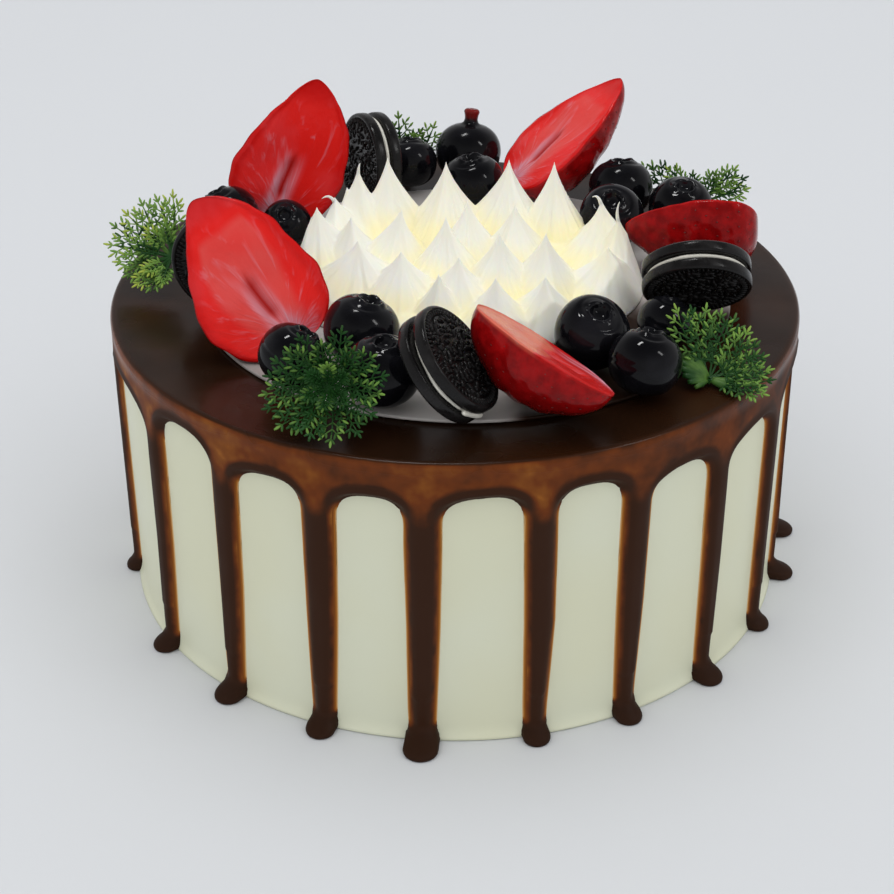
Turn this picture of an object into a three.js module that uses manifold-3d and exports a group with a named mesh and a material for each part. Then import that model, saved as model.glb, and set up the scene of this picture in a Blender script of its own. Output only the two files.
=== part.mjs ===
// A round drip cake, 16 cm across: a cream-coated cylinder under chocolate icing that runs down in
// drips, with a field of pulled cream peaks ringed by strawberry halves, blueberries, mini sandwich
// cookies and green sprigs. Millimetres, +Z up, -Y towards the front. The origin is on the cake's
// axis, in the plane that it rests on.

import * as THREE from "three";
import { mergeVertices } from "three/addons/utils/BufferGeometryUtils.js";
import Module from "manifold-3d";

const wasm = await Module();
wasm.setup();

// Driving dimensions of the cake and its icing
const CAKE_HEIGHT = 70.9;
const CAKE_RADIUS = 80;
const ICING_THICK = 1.2;
const GAP = 0.3;
const COAT_RADIUS = CAKE_RADIUS - ICING_THICK - GAP;
const COAT_TOP = CAKE_HEIGHT - ICING_THICK - GAP;
const COAT_EDGE = 0.8;
const ROUND_SIDES = 60;
const ICING_SHOULDER = 2;
const ICING_BEVEL = 0.5;
const BAND_BOTTOM = 55;
const FOOT_CLEARANCE = 0.5;
const DRIP_ROOT = COAT_RADIUS + GAP + 0.15;

// The drips: where they run, in degrees round the cake from the front, positive to the right
const SHOWN_DRIPS = [-75, -56.3, -38, -21, -4.8, 13, 28.7, 45.7, 63.5, 79, 94];
const FOOT_REACH = [4, 5.4, 6.2, 6, 8.4, 5, 5.4, 5.9, 4.7, 4, 6.6];
const ARCH_TOPS = [60.6, 63.4, 61.6, 61.4, 62.4, 62.4, 60, 59.6, 60.6, 61];
const HIDDEN_DRIPS = 10;
const DRIP_WIDTH = 6.6;
const DRIP_BULGE = 1.9;
const DRIP_ARC_STEPS = 4;
const HIDDEN_REACH = 5.2;
const BAND_REACH = ICING_THICK;
const ARCH_CORNER = 3;
const ARCH_DOME = 0.6;

// The thin white disc that carries the toppings, and the cream on it
const DISC_RADIUS = 61;
const DISC_FORWARD = 0.5;
const DISC_THICK = 0.8;
const DISC_TOP = CAKE_HEIGHT + GAP + DISC_THICK;
const BED = DISC_TOP + GAP;
const CREAM_HEIGHT = 8;
const CREAM_RADIUS = 38;
const CREAM_ACROSS = 1.02;
const CREAM_DEEP = 0.86;
const PEAK_FOOT = 78;
const PEAK_RADIUS = 9.6;
const PEAK_SIDES = 7;

// Mini sandwich cookie
const COOKIE_RADIUS = 12.2;
const WAFER_THICK = 2.75;
const FILLING_THICK = 0.9;
const FILLING_INSET = 0.6;
const WAFER_EDGE = 0.7;
const COOKIE_SIDES = 22;
const COOKIE_THICK = 2 * WAFER_THICK + FILLING_THICK + 2 * GAP;

// Strawberry half: rows of points along it and steps round its skin
const STRAWBERRY_ROWS = 8;
const STRAWBERRY_ARC_STEPS = 8;

// Blueberry sides, and the one stem left on a berry as a share of its radius
const BERRY_SIDES = 10;
const STEM_LONG = 0.48;

// Sprig: its thickness, how far its notches reach as a share of the lobes, and where it bends
const LEAF_THICK = 1;
const NOTCH_SHARE = 0.62;
const BEND_SHARE = 0.5;

const DEG = Math.PI / 180;

function paint(hex, roughness, metalness = 0) {
  return new THREE.MeshStandardMaterial({ color: hex, roughness, metalness });
}

const creamCoat = paint("#dcdcc6", 0.45);
const chocolate = paint("#2b120a", 0.15);
const whiteDisc = paint("#d8d6cc", 0.4);
const pipedCream = paint("#ece7d2", 0.5);
const strawberryRed = paint("#b3141a", 0.25);
const waferBlack = paint("#121213", 0.55);
const fillingWhite = paint("#dedbd0", 0.5);
const berryBlack = paint("#0b0b10", 0.15);
const leafGreen = paint("#2f6b26", 0.4);

const cake = new THREE.Group();

function add(name, geometry, material) {
  const mesh = new THREE.Mesh(geometry, material);
  mesh.name = name;
  cake.add(mesh);
  return mesh;
}

// A closed geometry from points and triangles, turned so that its faces point outwards
function closedGeometry(points, faces) {
  let volume = 0;
  const normal = new THREE.Vector3();
  for (const [a, b, c] of faces) {
    volume += points[a].dot(normal.crossVectors(points[b], points[c]));
  }
  const ordered = volume < 0 ? faces.map(([a, b, c]) => [a, c, b]) : faces;
  const geometry = new THREE.BufferGeometry().setFromPoints(points);
  geometry.setIndex(ordered.flat());
  return geometry;
}

// Joins rings of points into one skin, closed at each end by a fan to a single point
function loft(start, rings, end) {
  const count = rings[0].length;
  const points = [start, ...rings.flat(), end];
  const lastRing = 1 + (rings.length - 1) * count;
  const faces = [];
  for (let side = 0; side < count; side += 1) {
    const next = (side + 1) % count;
    faces.push([0, 1 + next, 1 + side]);
    for (let ring = 0; ring < rings.length - 1; ring += 1) {
      const low = 1 + ring * count;
      const high = low + count;
      faces.push([low + side, low + next, high + next]);
      faces.push([low + side, high + next, high + side]);
    }
    faces.push([lastRing + side, lastRing + next, points.length - 1]);
  }
  return closedGeometry(points, faces);
}

function lathe(profile, sides) {
  const points = profile.map(([radius, height]) => new THREE.Vector2(radius, height));
  const geometry = new THREE.LatheGeometry(points, sides);
  geometry.rotateX(Math.PI / 2);
  return geometry;
}

function solidOf(geometry) {
  const bare = geometry.clone();
  bare.deleteAttribute("normal");
  bare.deleteAttribute("uv");
  const merged = mergeVertices(bare, 1e-4);
  return new wasm.Manifold(new wasm.Mesh({
    numProp: 3,
    vertProperties: new Float32Array(merged.attributes.position.array),
    triVerts: new Uint32Array(merged.index.array),
  }));
}

function geometryOf(solid) {
  const mesh = solid.getMesh();
  const geometry = new THREE.BufferGeometry();
  geometry.setAttribute("position", new THREE.BufferAttribute(mesh.vertProperties, 3));
  geometry.setIndex(new THREE.BufferAttribute(mesh.triVerts, 1));
  return geometry;
}

// Turns a geometry's local Z to face one way and its local Y as near as it can be to another,
// then carries its origin to a place
function setDown(geometry, place, facing, along) {
  const z = new THREE.Vector3(...facing).normalize();
  const x = new THREE.Vector3().crossVectors(new THREE.Vector3(...along), z).normalize();
  const y = new THREE.Vector3().crossVectors(z, x);
  geometry.applyMatrix4(new THREE.Matrix4().makeBasis(x, y, z).setPosition(...place));
  return geometry;
}

// A point at a bearing round the cake, counted from the front and positive to the right
function around(bearing, radius, height) {
  return new THREE.Vector3(
    radius * Math.sin(bearing * DEG),
    -radius * Math.cos(bearing * DEG),
    height,
  );
}

// The cream-coated cake
function cakeBody() {
  return lathe([
    [0, 0],
    [COAT_RADIUS - COAT_EDGE, 0],
    [COAT_RADIUS, COAT_EDGE],
    [COAT_RADIUS, COAT_TOP - COAT_EDGE],
    [COAT_RADIUS - COAT_EDGE, COAT_TOP],
    [0, COAT_TOP],
  ], ROUND_SIDES);
}

// All the drips, with those on the far side spread evenly through the rest of the circle
function dripPlan() {
  const drips = SHOWN_DRIPS.map((bearing, index) => ({ bearing, reach: FOOT_REACH[index] }));
  const first = SHOWN_DRIPS[0] + 360;
  const last = SHOWN_DRIPS[SHOWN_DRIPS.length - 1];
  const step = (first - last) / (HIDDEN_DRIPS + 1);
  for (let index = 1; index <= HIDDEN_DRIPS; index += 1) {
    const wander = 1.2 * Math.sin(index * 2.3);
    const reach = HIDDEN_REACH + 1.2 * Math.cos(index * 1.7);
    drips.push({ bearing: last + step * index + wander, reach });
  }
  return drips;
}

// One run of chocolate from the band to its foot: rows of height, share of width and outward bulge
function dripGeometry({ bearing, reach }) {
  const foot = BAND_REACH + reach;
  const rows = [
    [BAND_BOTTOM + 9, 0.8, BAND_REACH - 0.2],
    [BAND_BOTTOM, 1, DRIP_BULGE],
    [20, 0.94, DRIP_BULGE],
    [8, 0.86, DRIP_BULGE + 0.4],
    [4.6, 1, 0.7 * foot],
    [2.2, 1.12, foot],
    [FOOT_CLEARANCE, 1, 0.92 * foot],
  ];
  const rings = rows.map(([height, width, bulge]) => {
    const ring = [];
    for (let step = 0; step <= DRIP_ARC_STEPS; step += 1) {
      const angle = Math.PI * (1 - step / DRIP_ARC_STEPS);
      const aside = 0.5 * DRIP_WIDTH * width * Math.cos(angle);
      const out = DRIP_ROOT + (bulge - DRIP_ROOT + COAT_RADIUS + GAP) * Math.sin(angle);
      ring.push(around(bearing + aside / CAKE_RADIUS / DEG, out, height));
    }
    return ring;
  });
  const middle = (height) => around(bearing, DRIP_ROOT + 0.5, height);
  return loft(middle(rows[0][0]), rings, middle(FOOT_CLEARANCE));
}

// The opening under the band between two drips: straight sides and a rounded, slightly domed top
function archCutter(left, right, top) {
  const bearing = (left + right) / 2;
  const half = 0.5 * ((right - left) * DEG * CAKE_RADIUS - DRIP_WIDTH);
  const shape = new THREE.Shape();
  const low = BAND_BOTTOM - 1;
  const shoulder = top - ARCH_DOME;
  shape.moveTo(-half, low);
  shape.lineTo(half, low);
  shape.lineTo(half, shoulder - ARCH_CORNER);
  shape.quadraticCurveTo(half, shoulder, half - ARCH_CORNER, shoulder);
  shape.quadraticCurveTo(0, top + ARCH_DOME, ARCH_CORNER - half, shoulder);
  shape.quadraticCurveTo(-half, shoulder, -half, shoulder - ARCH_CORNER);
  const inside = COAT_RADIUS - 8;
  const geometry = new THREE.ExtrudeGeometry(shape, {
    depth: 20,
    steps: 1,
    curveSegments: 2,
    bevelEnabled: false,
  });
  geometry.rotateX(Math.PI / 2);
  geometry.translate(0, -inside, 0);
  geometry.rotateZ(bearing * DEG);
  return geometry;
}

// Chocolate icing: a cap with a crisp rim, a band down the side, and the drips
function icing() {
  const inner = COAT_RADIUS + GAP;
  const bandTop = CAKE_HEIGHT - ICING_SHOULDER;
  const under = COAT_TOP + GAP;
  let solid = solidOf(lathe([
    [0, under],
    [inner - COAT_EDGE, under],
    [inner, under - COAT_EDGE],
    [inner, BAND_BOTTOM],
    [CAKE_RADIUS, BAND_BOTTOM],
    [CAKE_RADIUS, bandTop],
    [CAKE_RADIUS - ICING_BEVEL, CAKE_HEIGHT],
    [0, CAKE_HEIGHT],
  ], ROUND_SIDES));
  const drips = dripPlan();
  const bearings = drips.map((drip) => drip.bearing);
  bearings.push(bearings[0] + 360);
  for (let index = 0; index < drips.length; index += 1) {
    const top = ARCH_TOPS[index % ARCH_TOPS.length];
    solid = solid.subtract(solidOf(archCutter(bearings[index], bearings[index + 1], top)));
  }
  for (const drip of drips) {
    solid = solid.add(solidOf(dripGeometry(drip)));
  }
  return geometryOf(solid);
}

function toppingDisc() {
  const low = CAKE_HEIGHT + GAP;
  const rim = [[0, low], [DISC_RADIUS, low], [DISC_RADIUS, DISC_TOP], [0, DISC_TOP]];
  return lathe(rim, ROUND_SIDES).translate(0, -DISC_FORWARD, 0);
}

// A pulled peak: a round foot that narrows in a hollow curve to a fine tip, which may lean
function peakGeometry([x, y, top, wide = 1, leanX = 0]) {
  const shares = [0, 0.3, 0.62, 0.86];
  const rings = shares.map((share) => {
    const radius = wide * PEAK_RADIUS * (1 - share) ** 1.2 + 0.3;
    const height = PEAK_FOOT + (top - PEAK_FOOT) * share;
    const ring = [];
    for (let side = 0; side < PEAK_SIDES; side += 1) {
      const angle = (side / PEAK_SIDES) * 2 * Math.PI + x;
      ring.push(new THREE.Vector3(
        x + leanX * (share * share - 1) + radius * Math.cos(angle),
        y + radius * Math.sin(angle),
        height,
      ));
    }
    return ring;
  });
  const foot = new THREE.Vector3(x - leanX, y, PEAK_FOOT);
  return loft(foot, rings, new THREE.Vector3(x, y, top));
}

// The field of peaks, from the back row to the front: tip x, y and height, how wide the peak is
// against the others, and how far it leans
const PEAKS = [
  [-32, 5, 89, 0.85], [-29, 14, 89, 0.8, -3], [-23, 20, 92.5, 0.8], [-16, 22, 95], [-9, 24, 86],
  [-2, 19, 95], [6, 24, 87], [13, 20.5, 95], [23.7, 19, 95, 0.72], [33, 5, 91.5, 0.72, -1.5],
  [38, -1, 88, 0.7],
  [-24, 3, 88], [-12, 3, 90, 1, 2], [-2, -4, 91], [10, -12, 90.5], [20.5, -12, 90.5], [29, -3, 90],
  [35, -11, 87.5, 0.85],
  [-22, -8, 87], [-31, -6, 86, 0.85], [-12, -15, 87.5], [-4, -24, 86.5, 0.9], [1, -18, 87.5],
  [9, -25.5, 86, 0.85], [3, 5, 91], [14, 3, 91], [-24, -18, 86, 0.9], [20, -24, 85.5, 0.85],
  [30, -20, 85.5, 0.9],
];

// Cream pulled up in rows of peaks on a low mound
function creamField() {
  const mound = lathe([
    [0, BED],
    [CREAM_RADIUS - 1.5, BED],
    [CREAM_RADIUS, BED + 1.5],
    [CREAM_RADIUS - 1.5, BED + 4],
    [CREAM_RADIUS - 8, BED + CREAM_HEIGHT],
    [0, BED + CREAM_HEIGHT + 1],
  ], ROUND_SIDES / 2);
  mound.scale(CREAM_ACROSS, CREAM_DEEP, 1);
  mound.translate(1.5, -1, 0);
  let solid = solidOf(mound);
  for (const peak of PEAKS) {
    solid = solid.add(solidOf(peakGeometry(peak)));
  }
  return geometryOf(solid);
}

// Half a strawberry. Local Y runs from the stem end to the tip and local Z out of the cut face.
function strawberryHalf({ long, wide, deep, fullest = 0.65, blunt = 0.62, bend = 0 }) {
  const rings = [];
  for (let row = 1; row < STRAWBERRY_ROWS; row += 1) {
    const share = (1 - Math.cos((Math.PI * row) / STRAWBERRY_ROWS)) / 2;
    const swell = Math.sin(Math.PI * share ** fullest) ** blunt;
    const ring = [];
    for (let step = 0; step <= STRAWBERRY_ARC_STEPS; step += 1) {
      const angle = (Math.PI * step) / STRAWBERRY_ARC_STEPS;
      ring.push(new THREE.Vector3(
        0.5 * wide * swell * Math.cos(angle) + bend * share * share,
        long * (share - 0.5),
        -deep * swell * Math.sin(angle),
      ));
    }
    rings.push(ring);
  }
  const stem = new THREE.Vector3(0, -0.5 * long, 0);
  const tip = new THREE.Vector3(bend, 0.5 * long, 0);
  return loft(stem, rings, tip);
}

// A mini sandwich cookie: two wafers with a thin filling between. Local Z is out of its front face.
function addCookie(name, place, facing) {
  const up = [0, 0, 1];
  const wafer = () => lathe([
    [0, 0],
    [COOKIE_RADIUS, 0],
    [COOKIE_RADIUS, WAFER_THICK - WAFER_EDGE],
    [COOKIE_RADIUS - WAFER_EDGE, WAFER_THICK],
    [0, WAFER_THICK],
  ], COOKIE_SIDES);
  const half = COOKIE_THICK / 2;
  const front = wafer();
  front.translate(0, 0, half - WAFER_THICK);
  const back = wafer();
  back.rotateX(Math.PI);
  back.translate(0, 0, WAFER_THICK - half);
  const low = -FILLING_THICK / 2;
  const reach = COOKIE_RADIUS - FILLING_INSET;
  const filling = lathe([[0, low], [reach, low], [reach, -low], [0, -low]], COOKIE_SIDES);
  add(`${name}_wafer_front`, setDown(front, place, facing, up), waferBlack);
  add(`${name}_filling`, setDown(filling, place, facing, up), fillingWhite);
  add(`${name}_wafer_back`, setDown(back, place, facing, up), waferBlack);
}

// A blueberry: slightly flat, with a crown round a dimple or a short stem. Local Z runs out of
// the crown.
function blueberryGeometry(radius, stem) {
  const profile = [[0, -0.86], [0.6, -0.74], [0.93, -0.36], [1, 0.05], [0.87, 0.48], [0.56, 0.78]];
  if (stem > 0) {
    profile.push([0.22, 0.84], [0.24, 0.84 + 0.8 * stem], [0.12, 0.84 + stem], [0, 0.84 + stem]);
  } else {
    profile.push([0.4, 0.92], [0.27, 0.8], [0, 0.74]);
  }
  return lathe(profile.map(([across, up]) => [across * radius, up * radius]), BERRY_SIDES);
}

function addBlueberry(name, place, radius, crown, stem = 0) {
  add(name, setDown(blueberryGeometry(radius, stem), place, crown, [1, 0, 0]), berryBlack);
}

// A sprig: a thin leaf of lobes that fan out from a base, dished towards the side it faces.
// Lobe angles run from one end of the sweep to the other, counted from local X towards local Y.
function sprigGeometry({ from, to, lobes, reach, dish }) {
  const whole = to - from >= 360;
  const spokes = whole ? 2 * lobes : 2 * lobes + 1;
  const rim = [];
  const middle = [];
  for (let spoke = 0; spoke < spokes; spoke += 1) {
    const share = spoke / (whole ? spokes : spokes - 1);
    const angle = (from + (to - from) * share) * DEG;
    const isLobe = spoke % 2 === 1;
    const length = reach(share) * (isLobe ? 1 : NOTCH_SHARE);
    const wave = (isLobe ? 0.5 : -0.5) * LEAF_THICK;
    const bend = BEND_SHARE * length;
    rim.push([length * Math.cos(angle), length * Math.sin(angle), dish + wave]);
    middle.push([bend * Math.cos(angle), bend * Math.sin(angle), 0.3 * dish]);
  }
  const points = [];
  for (const side of [0.5, -0.5]) {
    points.push(new THREE.Vector3(0, 0, side * LEAF_THICK));
    for (const [x, y, z] of [...middle, ...rim]) {
      points.push(new THREE.Vector3(x, y, z + side * LEAF_THICK));
    }
  }
  const faceSize = 1 + 2 * spokes;
  const faces = [];
  const links = whole ? spokes : spokes - 1;
  for (let spoke = 0; spoke < links; spoke += 1) {
    const next = (spoke + 1) % spokes;
    const face = [
      [0, 1 + spoke, 1 + next],
      [1 + spoke, 1 + spokes + spoke, 1 + spokes + next],
      [1 + spoke, 1 + spokes + next, 1 + next],
    ];
    faces.push(...face);
    faces.push(...face.map(([a, b, c]) => [a + faceSize, c + faceSize, b + faceSize]));
    const edge = [1 + spokes + spoke, 1 + spokes + next];
    faces.push([edge[0], edge[0] + faceSize, edge[1] + faceSize]);
    faces.push([edge[0], edge[1] + faceSize, edge[1]]);
  }
  if (!whole) {
    const first = [0, 1, 1 + spokes];
    const last = [1 + 2 * spokes - 1, spokes, 0];
    for (const side of [first, last]) {
      for (let step = 0; step < 2; step += 1) {
        const a = side[step];
        const b = side[step + 1];
        faces.push([a, a + faceSize, b + faceSize], [a, b + faceSize, b]);
      }
    }
  }
  return closedGeometry(points, faces);
}

add("cake_body", cakeBody(), creamCoat);
add("chocolate_icing", icing(), chocolate);
add("topping_disc", toppingDisc(), whiteDisc);
add("cream_peaks", creamField(), pipedCream);

// Strawberry halves: the middle of each cut face, the way that it looks, and the way to the tip
add("strawberry_back_left", setDown(
  strawberryHalf({ long: 38.5, wide: 30, deep: 11, blunt: 0.8, bend: 1.8 }),
  [-39.1, 33, 91.2],
  [-0.05, -0.98, 0.15],
  [0.235, 0.15, 0.955],
), strawberryRed);
add("strawberry_left", setDown(
  strawberryHalf({ long: 39, wide: 27.2, deep: 9.5, blunt: 0.58, bend: -1 }),
  [-44.9, -30.1, 89.4],
  [0, -0.857, 0.515],
  [-0.61, 0.408, 0.68],
), strawberryRed);
add("strawberry_back_right", setDown(
  strawberryHalf({ long: 38, wide: 27.4, deep: 12.8 }),
  [28.1, 53.6, 89.4],
  [-0.6, -0.18, 0.776],
  [0.73, 0.265, 0.626],
), strawberryRed);
add("strawberry_right", setDown(
  strawberryHalf({ long: 31, wide: 24, deep: 11 }),
  [55.7, 8.3, 83.2],
  [0.05, 0.8, 0.6],
  [-0.965, -0.06, -0.22],
), strawberryRed);
add("strawberry_front", setDown(
  strawberryHalf({ long: 33, wide: 24.5, deep: 12.2, fullest: 0.7 }),
  [18.6, -58.9, 85.95],
  [0.516, 0.233, 0.823],
  [-0.848, 0.27, 0.455],
), strawberryRed);

// Mini sandwich cookies: the middle of each, and the way that its front face looks
addCookie("cookie_back_left", [-21, 44.5, 84.8], [-0.9, -0.42, 0.1]);
addCookie("cookie_left", [-51.2, -13.2, 84.8], [-0.1, -0.99, 0]);
addCookie("cookie_front", [-1.2, -61.6, 83.6], [0.76, -0.13, 0.63]);
addCookie("cookie_right", [53.7, -20.3, 83.5], [0, -0.766, -0.643]);

// Blueberries: the middle of each, its radius and the way that its crown looks
addBlueberry("blueberry_left_back", [-55.1, 23.4, 79.3], 7.6, [-0.41, 0.12, 0.9]);
addBlueberry("blueberry_left_inner", [-40.7, 20.7, 78.1], 6.1, [-0.03, -0.64, 0.77]);
addBlueberry("blueberry_front_inner", [-20.1, -38.8, 79.8], 8.3, [0.31, 0.11, 0.95]);
addBlueberry("blueberry_front_left", [-34.2, -49.6, 79.2], 7.3, [0.56, 0.14, 0.82]);
addBlueberry("blueberry_front_outer", [-14.9, -56.6, 79.4], 8.2, [0.09, -0.08, 0.99]);
addBlueberry("blueberry_right_inner", [29.3, -40.4, 80], 8.2, [0.2, -0.4, 0.9]);
addBlueberry("blueberry_right_front", [39.8, -52, 79], 7.8, [0.17, 0.24, 0.95]);
addBlueberry("blueberry_right_low", [46, -31.2, 77.9], 6.1, [0.3, 0.2, 0.93]);
addBlueberry("blueberry_back_right_outer", [41.8, 40.6, 79.2], 8.1, [0, 0.2, 0.98]);
addBlueberry("blueberry_back_right_inner", [38.1, 21.4, 79.8], 7.9, [-0.05, -0.52, 0.85]);
addBlueberry("blueberry_back_right_end", [55.5, 27.5, 79.4], 7.9, [0.07, -0.28, 0.96]);
addBlueberry("blueberry_back_outer", [3.6, 64, 79.6], 8.6, [0.09, 0.17, 0.98], STEM_LONG);
addBlueberry("blueberry_back_inner", [4.6, 43.4, 79.3], 8.1, [-0.08, 0, 1]);
addBlueberry("blueberry_back_middle", [-11.6, 58.4, 78.9], 7.1, [0, 0.18, 0.98]);

// Green sprigs
add("sprig_left", setDown(
  sprigGeometry({
    from: 75,
    to: 270,
    lobes: 8,
    reach: (share) => 14 + 3.5 * Math.sin(Math.PI * share ** 0.8) - 6 * share ** 2,
    dish: 2.5,
  }),
  [-66, 1.3, 78.6],
  [-0.3, -0.75, 0.6],
  [0, 0.6, 0.8],
), leafGreen);
add("sprig_front", setDown(
  sprigGeometry({ from: 0, to: 360, lobes: 12, reach: () => 12.4, dish: 4 }),
  [-25.5, -64, 79.7],
  [-0.05, -0.857, 0.515],
  [0, 0.515, 0.857],
), leafGreen);
add("sprig_right", setDown(
  sprigGeometry({
    from: -35,
    to: 134,
    lobes: 8,
    reach: (share) => 12.4 + 2 * share ** 2,
    dish: 4,
  }),
  [54, -47.9, 72.6],
  [0.1, -0.5, 0.86],
  [0, 0.86, 0.5],
), leafGreen);
add("sprig_back_right", setDown(
  sprigGeometry({
    from: 12,
    to: 158,
    lobes: 6,
    reach: (share) => 15.5 + 8 * share ** 3 - 9 * Math.sin(Math.PI * share),
    dish: 1.2,
  }),
  [61.8, 46.2, 72],
  [0, -0.93, 0.36],
  [0, 0.36, 0.93],
), leafGreen);
add("sprig_back", setDown(
  sprigGeometry({
    from: 54,
    to: 118,
    lobes: 3,
    reach: (share) => 18 + 1.2 * share - 6 * Math.sin(Math.PI * share),
    dish: 0,
  }),
  [-12.5, 67.4, 71.8],
  [0, -1, 0],
  [0, 0, 1],
), leafGreen);

export default cake;
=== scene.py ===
import math

import bmesh
import bpy
import numpy as np
from bpy.props import FloatProperty, FloatVectorProperty, PointerProperty
from bpy.types import Operator, Panel, PropertyGroup
from mathutils import Matrix, Vector


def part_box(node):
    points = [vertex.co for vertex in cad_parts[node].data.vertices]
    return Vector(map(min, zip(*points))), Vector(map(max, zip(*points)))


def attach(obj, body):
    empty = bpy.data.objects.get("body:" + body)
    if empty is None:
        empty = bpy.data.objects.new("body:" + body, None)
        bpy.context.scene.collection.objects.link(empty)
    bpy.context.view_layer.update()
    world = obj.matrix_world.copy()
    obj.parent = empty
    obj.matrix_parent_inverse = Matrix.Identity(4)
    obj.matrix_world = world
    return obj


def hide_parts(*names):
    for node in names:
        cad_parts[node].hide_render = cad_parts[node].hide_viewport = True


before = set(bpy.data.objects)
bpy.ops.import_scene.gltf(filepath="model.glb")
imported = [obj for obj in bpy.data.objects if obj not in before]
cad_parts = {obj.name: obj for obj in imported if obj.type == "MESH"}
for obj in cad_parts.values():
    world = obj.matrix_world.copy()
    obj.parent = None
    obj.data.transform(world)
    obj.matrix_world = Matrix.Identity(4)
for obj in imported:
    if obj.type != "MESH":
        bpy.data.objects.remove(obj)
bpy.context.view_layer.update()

bl_info = {
    "name": "Drip Cake",
    "version": (1, 0, 0),
    "blender": (4, 5, 0),
    "location": "3D View > Sidebar > Cake",
    "description": "Dresses a packed drip cake with its coating, icing, cream, fruit and sprigs",
    "category": "Object",
}

MM = 0.001
DEG = math.pi / 180
TAU = 2 * math.pi

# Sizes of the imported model, in millimetres
COAT_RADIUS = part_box("cake_body")[1].x / MM
COAT_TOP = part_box("cake_body")[1].z / MM
ICING_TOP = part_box("chocolate_icing")[1].z / MM
BAND = 1.5
CAKE_RADIUS = COAT_RADIUS + BAND
DISC_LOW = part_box("topping_disc")[0].z / MM
DISC_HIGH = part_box("topping_disc")[1].z / MM
DISC_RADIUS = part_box("topping_disc")[1].x / MM
CREAM_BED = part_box("cream_peaks")[0].z / MM

# The drips, with bearings in degrees from the front, positive to the right. Each has how far its
# foot reaches out, then how far its middle wanders sideways and how wide it is at DRIP_HEIGHTS.
DRIP_HEIGHTS = (8, 30, 56)
SHOWN_DRIPS = (
    (-82, 4.0, (0.2, 0, -0.2), (6.4, 7.2, 7.8)),
    (-56.3, 5.4, (-0.3, 0.4, 0.2), (6.2, 7.1, 7.9)),
    (-38, 6.2, (-0.9, -0.4, -0.2), (6.1, 7.4, 7.8)),
    (-21, 6.0, (-0.4, -0.1, 0.1), (6.2, 7.5, 8.0)),
    (-4.8, 8.4, (-0.5, -0.1, 0), (6.5, 7.4, 8.1)),
    (13, 5.0, (-0.4, 0.2, 0), (5.6, 7.0, 7.3)),
    (28.7, 5.4, (-0.6, -0.2, 0.1), (5.8, 7.2, 7.6)),
    (45.7, 5.9, (-0.6, 0, 0.1), (5.7, 6.9, 7.4)),
    (63.5, 4.7, (-0.9, -0.5, 0), (5.8, 6.6, 7.2)),
    (82, 6.3, (-3.8, 0.4, 2.2), (3.8, 3.2, 3.0)),
    (93, 8.0, (0, 0.2, 0), (6.0, 7.0, 7.6)),
)
HIDDEN_DRIPS = 10
# The openings between the drips: how high each one's top is and how much it rises to the right
ARCHES = (
    (62.4, 0.2), (64.2, 0.2), (61.4, 0.5), (61.3, 0.1), (62.1, 0.6), (62.3, -0.1), (60.2, 0.5),
    (59.8, 0.8), (63.0, 1.0), (61.0, 0.2),
)
ARCH_HIGH = 7
ARCH_SQUARE = 2.8
# The feet of the drips: their clearance over the floor, the radius of a middling one, and heights
# with the share of the way out to its reach that a foot has there
FOOT_CLEARANCE = 0.12
FOOT_ROUND = 3.3
FOOT_SPILL = (
    (0, 0.3, 0.8, 1.2, 1.6, 2.0, 2.5, 3.1, 3.9, 5, 7),
    (0.96, 1.0, 1.0, 0.95, 0.85, 0.7, 0.48, 0.29, 0.14, 0.04, 0),
)


# Shapes


def ripple(points, size, seed, waves=14):
    """Smooth unevenness of about -1 to 1 at each point, in lumps that are size millimetres wide."""
    rng = np.random.default_rng(seed)
    way = rng.normal(size=(waves, 3))
    way *= (TAU / size * rng.uniform(0.35, 0.75, waves) / np.linalg.norm(way, axis=1))[:, None]
    phase = rng.uniform(0, TAU, waves)
    return np.sin(np.asarray(points) @ way.T + phase).sum(1) / math.sqrt(2 * waves)


def smooth(low, high, value):
    """Rises from 0 at low to 1 at high without corners; low may be the larger."""
    share = np.clip((np.asarray(value, float) - low) / (high - low), 0, 1)
    return share * share * (3 - 2 * share)


def axes_from(facing, along):
    """The three directions of a topping: local Z faces one way and Y is as near along as can be."""
    z = np.array(facing, float)
    z /= np.linalg.norm(z)
    x = np.cross(along, z)
    x /= np.linalg.norm(x)
    return np.array([x, np.cross(z, x), z])


def set_down(points, place, facing, along):
    """Turns points from a topping's own directions to the cake's and carries them to a place."""
    return np.asarray(points, float) @ axes_from(facing, along) + np.array(place, float)


def grid_faces(rows, columns, around=True):
    """Four-sided faces between rows of points, joined up round each row if around is true."""
    spans = columns if around else columns - 1
    row, column = np.meshgrid(np.arange(rows - 1), np.arange(spans), indexing="ij")
    following = (column + 1) % columns
    a = row * columns + column
    b = row * columns + following
    return np.stack([a, b, b + columns, a + columns], -1).reshape(-1, 4)


def fan_faces(point, ring, flip=False):
    """Triangles from one point to a ring of points."""
    ring = np.asarray(ring)
    following = np.roll(ring, -1)
    middle = np.full(len(ring), point)
    order = (middle, following, ring) if flip else (middle, ring, following)
    return np.stack(order, 1)


def closed_faces(rows, columns):
    """Faces of a form that is closed by one point before its first row and one after its last,
    which both come after all the rows."""
    count = rows * columns
    ring = np.arange(columns)
    return [grid_faces(rows, columns), fan_faces(count, ring, True),
        fan_faces(count + 1, ring + count - columns)]


def add_object(name, data):
    """Puts a mesh, light or camera into the scene."""
    thing = bpy.data.objects.new(name, data)
    bpy.context.scene.collection.objects.link(thing)
    return thing


def mark(mesh, key, values):
    """Gives a mesh one named number or direction for each of its points."""
    values = np.asarray(values, np.float32)
    kind, field = ("FLOAT_VECTOR", "vector") if values.ndim == 2 else ("FLOAT", "value")
    mesh.attributes.new(key, kind, "POINT").data.foreach_set(field, values.ravel())


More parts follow.
